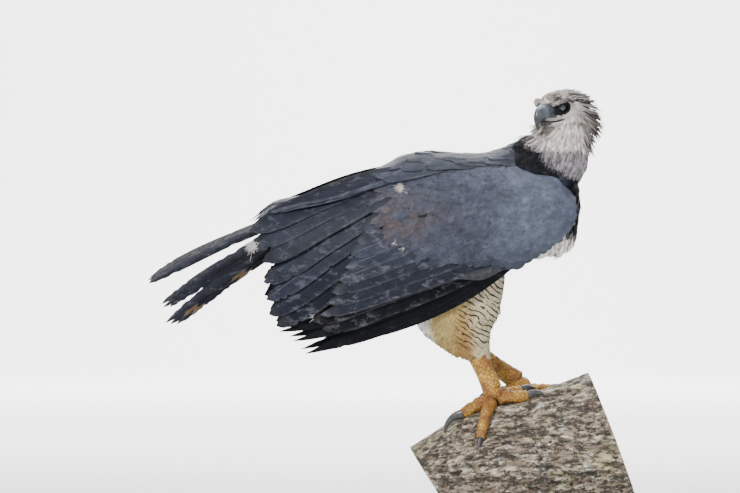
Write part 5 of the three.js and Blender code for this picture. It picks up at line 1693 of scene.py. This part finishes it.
eyeFinish, faceFinish = eyeMaterial(), mottledMaterial("face")
for sideName, sign in (("right", -1), ("left", 1)):
    gazeAngle = math.radians(66)
    axis = unit(np.array([math.cos(gazeAngle), sign * math.sin(gazeAngle), 0.02]))
    polar, v = np.meshgrid(np.linspace(0.004, 0.996, 60) * np.pi, turnsOf(72), indexing="ij")
    aside = unit(np.cross(axis, [0, 0, 1.0]))
    upright = np.cross(aside, axis)
    direction = (np.cos(polar)[..., None] * axis + np.sin(polar)[..., None]
                 * (np.cos(v)[..., None] * aside + np.sin(v)[..., None] * upright))
    radius = bird["eyeRadius"] * (1 + 0.05 * np.exp(-(polar / 0.5) ** 2))
    ball = np.array(bird["eyeAt"]) * np.array([1, sign, 1]) + direction * (radius * 0.985)[..., None]
    eye = tubeMesh("eye_" + sideName + "_ball", fromHead(ball))
    gaze = np.concatenate([np.exp(-(polar / 0.62) ** 2).ravel(), [1.0, 0.0]])
    layer = eye.data.attributes.new("gaze", "FLOAT", "POINT")
    layer.data.foreach_set("value", gaze.astype(np.float32))
    settle(eye, "eye_" + sideName, eyeFinish)
    rings, away, xOf = facePatch(sign)
    inside = rings[::-1].copy()
    inside[..., 1] -= sign * 2.5
    shell = np.concatenate([rings, inside])
    # the last ring of the inner sheet closes on the first of the outer one
    start = np.arange(face["cols"])
    follow = np.roll(start, -1)
    lastRing = (2 * face["rows"] - 1) * face["cols"]
    rim = np.stack([follow, start, lastRing + start, lastRing + follow], -1)
    patch = meshFrom("face_" + sideName, fromHead(shell).reshape(-1, 3),
                     np.concatenate([gridFaces(2 * face["rows"], face["cols"]), rim]))
    lore = smooth(xOf, 26, 33) * smooth(away, 4.5, 9)
    tint = mix(dye("bar") * 0.35, dye("lores"), lore[..., None])
    addColour(patch, "tint", np.concatenate([tint, tint[::-1]]).reshape(-1, 3))
    settle(patch, [], faceFinish)
    # brow: a firm ridge over the eye, black underneath as painted shade over the eye, covered with small
    # feathers above
    browPath = np.array(brow["path"], float) * np.array([1, sign, 1])
    ridge = limbRings(browPath, browSize, (0, 1, 0), 50, 36)
    piece = tubeMesh("brow_" + sideName, fromHead(ridge))
    # painted shade: the ridge goes black towards its underside and takes the crown colour on top
    under = smooth(ridge[..., 2] - ridge.mean(1, keepdims=True)[..., 2], 0.0, 3.0)
    tint = mix(dye("bar") * 0.7, dye("crown"), under[..., None]).reshape(-1, 3)
    addColour(piece, "tint", np.concatenate([tint, tint[:1], tint[-1:]]))
    settle(piece, [], faceFinish)
    browRng = np.random.default_rng(51)
    t = browRng.random(brow["count"]) * 0.93
    around = browRng.uniform(-0.9, 2.15, brow["count"])
    centre, rise, sideways, _ = frameAlong(browPath, t, (0, 1, 0))
    b, _, w = browSize(t)
    c, n = np.cos(around), sign * np.sin(around)
    at = centre + rise * (c * (b - 0.2))[:, None] + sideways * (n * (w - 0.2))[:, None]
    out = unit(rise * c[:, None] + sideways * n[:, None])
    tone = mix(dye("paleGrey"), dye("crown"), browRng.uniform(0.05, 0.55, brow["count"])[:, None])
    # painted shade: feathers round the lower outer side of the ridge go dark; those towards the bill go
    # partly dark too
    toBar = np.maximum(smooth(around, 1.5, 2.0), 0.35 * smooth(t, 0.55, 0.9))
    tone = mix(tone, dye("bar"), toBar[:, None])
    tone = mix(tone, dye("brownBlack"), (0.8 * (browRng.random(brow["count"]) < 0.25))[:, None])
    # painted shade: the far brow is darkened along its middle, the near one only a little
    tone = tone * (1 - (0.6 if sign > 0 else 0.1) * np.exp(-((t - 0.5) / 0.25) ** 4))[:, None]
    browWay = np.broadcast_to([-1.0, 0, -0.12], at.shape) @ headMatrix.T
    browUv = roomUv("head", 0.3 + 0.4 * t, 0.1 + around / 9)
    shortFeathers("brows", fromHead(at), out @ headMatrix.T, browWay, mix(*brow["length"], 1 - t),
                  brow["width"], lookOf(tone, tone * 0.7), browUv, browRng,
                  shape="lance", rows=5, cols=3, thick=0.2, lift=0.22, hug=0.12, sink=0.02)
    # lips: two thin rolls along the mouth line, which runs back to below the eye
    for name in ("upper", "lower"):
        drop, thick, tone = lips[name]
        xs, zs = np.array(lips["x"]), np.array(lips["z"]) + drop
        out = np.maximum(cheekOut(np.minimum(xs, 30), zs) * np.array(lips["share"]), 5.0) - 0.6
        lip = np.stack([xs, sign * out, zs], -1)
        lipSize = lambda t: (thick * np.sin(np.pi * np.clip(t, 0.04, 0.96)) ** 0.4,) * 3
        lipRings = limbRings(lip, lipSize, (0, 1, 0), 60, 20)
        piece = tubeMesh("lip_" + name + "_" + sideName, fromHead(lipRings))
        addColour(piece, "tint", np.broadcast_to(dye(tone) * 0.30, (len(piece.data.vertices), 3)))
        settle(piece, [], faceFinish)
dress("brows", "coat_brows", downFinish)
print("eyes ready")

# bough, worked out before the feet because they stand on it
bough = {
    "radius": 138.0, "crest": [[-160, -92], [-82, -42], [-20, -5], [60, 13], [138, 36], [196, 58]],
    "rows": 200, "cols": 340, "endRings": 26,
}


def boughPathPoints():
    # the middle line lies one radius below the crest line, square to it
    crest = np.array(bough["crest"], float)
    before, after = np.vstack([crest[:1], crest[:-1]]), np.vstack([crest[1:], crest[-1:]])
    slope = np.arctan2(after[:, 1] - before[:, 1], after[:, 0] - before[:, 0])
    x, z = crest[:, 0] + bough["radius"] * np.sin(slope), crest[:, 1] - bough["radius"] * np.cos(slope)
    return np.stack([x, 0 * slope, z], -1)


boughCentre, boughWay = pathAt(boughPathPoints(), np.linspace(0, 1, 200))


def barkHeight(x, y):
    # height of the round bough at x, y, from the nearest station of its path
    slope = np.arctan2(boughWay[:, 2], boughWay[:, 0])
    top = np.sqrt(max(0.0, bough["radius"] ** 2 - y * y))
    px, pz = boughCentre[:, 0] - top * np.sin(slope), boughCentre[:, 2] + top * np.cos(slope)
    i = int(np.argmin(np.abs(px - x)))
    return pz[i] + (x - px[i]) * math.tan(slope[i])


bark = {
    "dark": (0.090, 0.065, 0.048), "middle": (0.235, 0.178, 0.130), "light": (0.38, 0.31, 0.225),
    "plate": (0.62, 0.55, 0.43), "olive": (0.40, 0.37, 0.205), "lichen": (0.60, 0.62, 0.55),
    "rust": (0.36, 0.17, 0.06), "crack": (0.016, 0.013, 0.011),
    "earlyWood": (0.27, 0.165, 0.085), "lateWood": (0.47, 0.33, 0.20), "yearRings": 66.0,
}


def barkPatches(tree, colour, place, scale, detail, rough, edges, amount, name):
    # patches of one colour where noise lies between two edges and beyond; edges turned round take the rest
    low, high = edges
    stops = [(low, 0.0), (high, 1.0)] if low < high else [(high, 1.0), (low, 0.0)]
    mask = ramp(tree, noise(tree, scale, detail, rough, place), stops)
    return mixColour(tree, times(tree, mask, amount), colour, bark[name]), mask


def barkMaterial():
    # pale plates, olive and white growths and rust over mottled bark, then dark cracks between them, their
    # near black partly painted shade
    material, tree, shader = newMaterial("barkFinish")
    place, along = objectPlace(tree), objectPlace(tree, (0.35, 1.0, 1.0))
    coarse, fine = noise(tree, 14.0, 6.0, 0.62, along), noise(tree, 110.0, 6.0, 0.65, along)
    colour = ramp(tree, coarse, [(0.32, bark["dark"]), (0.50, bark["middle"]), (0.66, bark["light"])])
    colour, _ = barkPatches(tree, colour, along, 84.0, 5.0, 0.75, (0.52, 0.56), 0.75, "plate")
    colour, _ = barkPatches(tree, colour, place, 13.0, 6.0, 0.75, (0.53, 0.58), 0.6, "olive")
    colour, _ = barkPatches(tree, colour, place, 31.0, 6.0, 0.8, (0.585, 0.61), 0.85, "lichen")
    colour, _ = barkPatches(tree, colour, place, 6.5, 4.0, 0.6, (0.63, 0.68), 0.45, "rust")
    # the near black in the cracks is partly painted shade in the furrows
    colour, crack = barkPatches(tree, colour, along, 78.0, 7.0, 0.9, (0.50, 0.46), 0.9, "crack")
    colour = dimmed(tree, colour, ramp(tree, fine, [(0.3, 0.45), (0.62, 1.25)]))
    # sawn ends: pale wood with year rings round the heart
    isCut, radius, _ = partsOf(tree, attribute(tree, "cut"), "Color")
    rings = plus(tree, times(tree, radius, bark["yearRings"]), times(tree, coarse, 12.0))
    rings = plus(tree, times(tree, calc(tree, "SINE", rings), 0.5), 0.5)
    wood = ramp(tree, rings, [(0.0, bark["earlyWood"]), (0.75, bark["lateWood"])])
    wood = dimmed(tree, wood, ramp(tree, radius, [(0.25, 0.55), (0.55, 1.0), (0.90, 1.0), (0.97, 0.35)]))
    wood = dimmed(tree, wood, ramp(tree, fine, [(0.3, 0.75), (0.7, 1.15)]))
    fillAll(tree, shader, {"Base Color": mixColour(tree, isCut, colour, wood), "Roughness": 0.88})
    bumpInto(tree, shader, plus(tree, fine, minus(tree, coarse, crack)), 0.9, 0.004)
    return material


def buildBough():
    # rings round the path: radius, waves that die out on top, furrows and plates of the bark; the sawn
    # ends shrink ring by ring to the heart
    t = np.linspace(0, 1, bough["rows"])
    centre, way = pathAt(boughPathPoints(), t)
    side = np.array([0.0, 1.0, 0.0])
    up = np.cross(way, side)
    angle = np.linspace(-np.pi, np.pi, bough["cols"], endpoint=False)
    aGrid, tGrid = np.meshgrid(angle, t)
    away = 1 - 0.85 * np.exp(-(aGrid / 0.75) ** 2)
    waves = (4 * np.sin(5 * aGrid + 3 * tGrid) + 3 * np.sin(9 * aGrid - 5 * tGrid + 1)
             + 2.5 * np.sin(17 * aGrid + 9 * tGrid) + 3 * np.sin(7 * tGrid))
    unrolled = np.stack([np.cos(aGrid) * bough["radius"], np.sin(aGrid) * bough["radius"], tGrid * 360], -1)
    furrow = np.abs(fractal(unrolled * np.array([1 / 11, 1 / 11, 1 / 34]), 4))
    plates = fractal(unrolled / 7.0, 3)
    relief = 2.2 - 5.0 * np.exp(-(furrow / 0.16) ** 2) + 1.3 * plates
    r = bough["radius"] + away * waves - 1.0 + (0.3 + 0.7 * away) * relief
    body = (centre[:, None] + up[:, None] * (r * np.cos(aGrid))[..., None]
            + side * (r * np.sin(aGrid))[..., None])
    shrink = np.linspace(0.985, 0.02, bough["endRings"])
    drawnIn = lambda ring, heart, f: heart + (ring - heart) * f
    first = np.stack([drawnIn(body[0], centre[0], f) for f in shrink[::-1]])
    last = np.stack([drawnIn(body[-1], centre[-1], f) for f in shrink])
    rings = np.concatenate([first, body, last])
    piece = tubeMesh("bough_log", rings)
    isCut = np.concatenate([np.ones(len(shrink)), np.zeros(len(t)), np.ones(len(shrink))])
    radius = np.concatenate([shrink[::-1], np.ones(len(t)), shrink])
    cols = bough["cols"]
    value = np.stack([np.repeat(isCut, cols), np.repeat(radius, cols), np.zeros(len(rings) * cols)], -1)
    addColour(piece, "cut", np.concatenate([value, [[1, 0, 0], [1, 0, 0]]]))
    return settle(piece, "perch", barkMaterial())


buildBough()
print("bough ready")

# shins, feet and claws
toeSizes = {
    # length, thickness at root and end, claw length and claw root
    1: {"length": 50, "root": 14, "end": 11.5, "claw": 72, "clawRoot": 10, "scutes": 4},
    2: {"length": 56, "root": 13.5, "end": 11, "claw": 54, "clawRoot": 8.5, "scutes": 6},
    3: {"length": 60, "root": 13, "end": 10.5, "claw": 44, "clawRoot": 7.5, "scutes": 8},
    4: {"length": 60, "root": 12.5, "end": 10, "claw": 36, "clawRoot": 7, "scutes": 6},
}


def plateRise(t, count, angle):
    # a scute stands proud over the back of the toe and dips at the joint with the next one
    inPlate = (t * count) % 1.0
    return (smooth(inPlate, 0.0, 0.16) * (1 - 0.55 * inPlate)) * smooth(np.cos(angle), 0.0, 0.45)


def scaleBumps(points, amount, cell):
    # rounded pebbles with valleys where the noise passes through nothing
    return amount * (0.5 - np.abs(fractal(points / cell, 2)))


def platedLimb(points, back, front, side, across, scutes, rise, rowCount=110, cols=56, pebble=0.5):
    # an oval round a path, raised by plates over its back and by pebbles all over
    t = np.linspace(0, 1, rowCount)
    centre, up, sideways, _ = frameAlong(points, t, across)
    aGrid, tGrid = np.meshgrid(turnsOf(cols), t)
    c, n = np.cos(aGrid), np.sin(aGrid)
    upward = np.where(c > 0, back(tGrid), front(tGrid))
    grow = rise * plateRise(tGrid, scutes, aGrid)
    base = (centre[:, None] + up[:, None] * (c * upward)[..., None]
            + sideways[:, None] * (n * side(tGrid))[..., None])
    out = unit(up[:, None] * c[..., None] + sideways[:, None] * n[..., None])
    return base + out * (grow + scaleBumps(base, pebble, 2.6))[..., None]


footColours = {
    "dark": (0.26, 0.105, 0.014), "middle": (0.50, 0.265, 0.030), "light": (0.60, 0.385, 0.065),
    "blotch": (0.23, 0.075, 0.010), "seam": (0.10, 0.038, 0.010), "cells": 150.0,
}


def footMaterial():
    # small many-sided scales with dark seams, by the distance to the nearest edge between two cells
    material, tree, shader = newMaterial("footFinish")
    place = objectPlace(tree)
    cells = tree.nodes.new("ShaderNodeTexVoronoi")
    cells.feature = "DISTANCE_TO_EDGE"
    fillAll(tree, cells, {"Scale": footColours["cells"], "Vector": place})
    seams = ramp(tree, cells.outputs["Distance"], [(0.015, 0.0), (0.17, 1.0)])
    mottle, blotch = noise(tree, 70.0, 5.0, 0.6, place), noise(tree, 24.0, 4.0, 0.6, place)
    colour = ramp(tree, mottle,
                  [(0.3, footColours["dark"]), (0.5, footColours["middle"]), (0.72, footColours["light"])])
    colour = mixColour(tree, ramp(tree, blotch, [(0.44, 0.0), (0.60, 0.85)]), colour, footColours["blotch"])
    colour = mixColour(tree, plus(tree, times(tree, seams, 0.75), 0.25), footColours["seam"], colour)
    fillAll(tree, shader, {"Base Color": colour, "Roughness": ramp(tree, mottle, [(0.3, 0.42), (0.7, 0.62)])})
    bumpInto(tree, shader, seams, 0.7, 0.0012)
    return material


footFinish = footMaterial()
clawFinish = hornMaterial("claw")


def flare(t):
    # the shin widens towards both ends and rounds off at the foot
    return (1 + 0.16 * np.abs(2 * t - 1) ** 2) * np.sqrt(1 - 0.85 * smooth(t, 0.86, 1.0) ** 2)


for legName, leg in legs.items():
    heel, ballPoint = np.array(leg["heel"], float), np.array(leg["ball"], float)
    way = unit(ballPoint - heel)
    top = heel + way * 12
    deepAt, wideAt = lambda t: 18.0 * flare(t), lambda t: 15.6 * flare(t)
    shin = platedLimb([top, (top + ballPoint) / 2, ballPoint], deepAt, deepAt, wideAt, (0, 1, 0), 0, 0.0)
    t = np.linspace(0, 1, shin.shape[0])
    # broad plates down the front
    plates = (t * 7) % 1.0
    forward = unit(shin - shin.mean(1, keepdims=True))
    frontMask = smooth(forward[..., 0], 0.1, 0.6)
    grow = 1.6 * (smooth(plates, 0, 0.16) * (1 - 0.55 * plates))[:, None] * frontMask
    shin = shin + forward * grow[..., None]
    piece = tubeMesh("shin_" + legName + "_scales", shin)
    settle(piece, "shin_" + legName, footFinish)
    toeRings = []
    for number, heading in leg["toes"].items():
        size = toeSizes[number]
        heading = math.radians(heading)
        aim = np.array([math.cos(heading), math.sin(heading)])
        points = []
        for t in (0, 0.3, 0.6, 0.85, 1):
            xy = ballPoint[:2] + aim * (10 + size["length"] * t)
            arch = 1.5 * math.sin(2 * math.pi * t) * (1 - t)
            z = barkHeight(*xy) + mix(size["root"], size["end"], t) + arch - 0.8
            points.append([xy[0], xy[1], z])
        across = (-aim[1], aim[0], 0)
        pad = lambda q: mix(size["root"], size["end"], q) * (1 + 0.07 * np.cos(6 * np.pi * q)) - 0.3
        radius = lambda q: pad(q) * np.sqrt(1 - 0.45 * np.clip((q - 0.86) / 0.14, 0, 1) ** 2)
        toeRings.append(platedLimb(points, radius, radius, lambda q: radius(q) * 0.94, across,
                                   size["scutes"], 1.5))
        start, up, _, along = (v[0] for v in frameAlong(points, np.array([1.0]), across))
        # the claw follows an arc from a little above the toe down to the bark
        arc = size["claw"] / 1.7
        firstAngle = math.radians(26)
        lastAngle = -math.acos(math.cos(firstAngle) - (size["end"] + 1) / arc)
        bend = np.linspace(firstAngle, lastAngle, 8)
        clawPoints = (start + along * (arc * (math.sin(firstAngle) - np.sin(bend)))[:, None]
                      + up * (arc * (np.cos(bend) - math.cos(firstAngle)))[:, None])
        taper = lambda t: size["clawRoot"] * (1 - t) ** 0.7 + 0.3
        clawRings = limbRings(clawPoints, lambda t: (taper(t), taper(t), taper(t) * 0.80), across, 70, 40)
        claw = tubeMesh("claw_" + legName + "_" + str(number) + "_horn", clawRings)
        settle(claw, "claw_" + legName + "_" + str(number), clawFinish)
    # the ball of the foot, an egg that joins the toes
    u, v = np.meshgrid(np.linspace(0.01, 0.99, 50) * np.pi, turnsOf(64), indexing="ij")
    egg = np.stack([21 * np.sin(u) * np.cos(v), 19 * np.sin(u) * np.sin(v), -16.5 * np.cos(u)], -1)
    hub = ballPoint + np.array([0, 0, -3.0]) + egg
    toeRings.append(hub)
    foot = mergedSkin("foot_" + legName + "_scales", toeRings, 0.0009)
    settle(foot, "foot_" + legName, footFinish)
    print("foot", legName, len(foot.data.polygons))


# stand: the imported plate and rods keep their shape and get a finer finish
stand = {
    # nodes, dark and light colour, roughness, metal, scale of the grain and how it runs
    "plate": (["stand_base"], (0.075, 0.048, 0.032), (0.17, 0.115, 0.08), 0.34, 0.0, 60.0, (0.12, 2.0, 1.0)),
    "rods": (["stand_rod_1", "stand_rod_2"], (0.36, 0.36, 0.37), (0.55, 0.55, 0.56), 0.3, 1.0, 300.0,
             (1, 1, 0.05)),
}
for nodes, low, high, roughness, metallic, scale, run in stand.values():
    for nodeName in nodes:
        material, tree, shader = newMaterial(nodeName + "Finish")
        grain = noise(tree, scale, 6.0, 0.6, objectPlace(tree, run))
        gloss = ramp(tree, grain, [(0.3, roughness + 0.12), (0.7, roughness)])
        fillAll(tree, shader, {"Base Color": ramp(tree, grain, [(0.3, low), (0.7, high)]),
                               "Roughness": gloss, "Metallic": metallic})
        bumpInto(tree, shader, grain, 0.15, 0.0006)
        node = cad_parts[nodeName]
        if not node.data.materials:
            node.data.materials.append(material)
        for slot in node.material_slots:
            slot.material = material
print("stand ready")


# floor, light and camera
def backdrop():
    # a floor that turns up into a wall far behind, in one round bend
    bend = np.linspace(0, np.pi / 2, 40)
    depth = np.concatenate([[-24.0, -8.0, 0.0, 8.0], 18.0 + 4.0 * np.sin(bend), [22.0]])
    height = np.concatenate([[0.0] * 4, 4.0 - 4.0 * np.cos(bend), [16.0]])
    xs = np.linspace(-26, 26, 30)
    rowCount = len(depth)
    wide = lambda v: np.repeat(v[:, None], len(xs), 1)
    points = np.stack([np.repeat(xs[None], rowCount, 0), wide(depth), wide(height)], -1)
    piece = meshFrom("floor", points.reshape(-1, 3), gridFaces(rowCount, len(xs), False), inMillimetres=False)
    material, tree, shader = newMaterial("floorFinish")
    fillAll(tree, shader, {"Base Color": (0.78, 0.78, 0.77), "Roughness": 0.9})
    piece.data.materials.append(material)
    return piece


def softLight(name, place, aim, size, power, tint):
    # a square or oblong lamp that faces its aim
    data = bpy.data.lights.new(name, "AREA")
    data.shape = "RECTANGLE"
    data.size, data.size_y = size
    data.energy = power
    data.color = tint
    lamp = bpy.data.objects.new(name, data)
    bpy.context.scene.collection.objects.link(lamp)
    lamp.location = place
    lamp.rotation_euler = (Vector(aim) - Vector(place)).to_track_quat("-Z", "Y").to_euler()
    return lamp


middlePoint = (-0.15, 0.0, 0.72)
lights = {
    # place, aim, size, power and tint
    "keyLight": ((-1.8, -3.2, 3.4), middlePoint, (1.4, 1.4), 310, (1.0, 0.985, 0.96)),
    "fillLight": ((3.4, -3.0, 1.9), middlePoint, (1.6, 1.6), 70, (0.95, 0.97, 1.0)),
    "topLight": ((0.1, 0.6, 3.6), middlePoint, (2.6, 2.0), 165, (0.97, 0.985, 1.0)),
    "wallLight": ((0.0, 14.0, 6.5), (0.0, 22.0, 1.6), (9.0, 2.0), 4200, (1.0, 1.0, 1.0)),
    "floorLight": ((0.0, 9.0, 5.5), (0.0, 8.5, 0.0), (9.0, 6.0), 2300, (1.0, 1.0, 1.0)),
}
floor = backdrop()
lamps = [softLight(name, *values) for name, values in lights.items()]
world = bpy.data.worlds.new("studio")
world.use_nodes = True
world.node_tree.nodes["Background"].inputs[0].default_value = (0.80, 0.85, 0.92, 1)
world.node_tree.nodes["Background"].inputs[1].default_value = 0.32
bpy.context.scene.world = world

# metres from the bird, width of the view there, and the middle of the view
cameraSettings = {"away": 10.0, "width": 1.48, "aim": (-0.200, 0.711)}
cameraData = bpy.data.cameras.new("camera")
cameraData.sensor_width = 36.0
cameraData.lens = 36.0 * cameraSettings["away"] / cameraSettings["width"]
camera = bpy.data.objects.new("camera", cameraData)
bpy.context.scene.collection.objects.link(camera)
camera.location = (cameraSettings["aim"][0], -cameraSettings["away"], cameraSettings["aim"][1])
camera.rotation_euler = (math.pi / 2, 0, 0)
cameraData.clip_end = 60.0
bpy.context.scene.camera = camera
print("floor, light and camera ready")
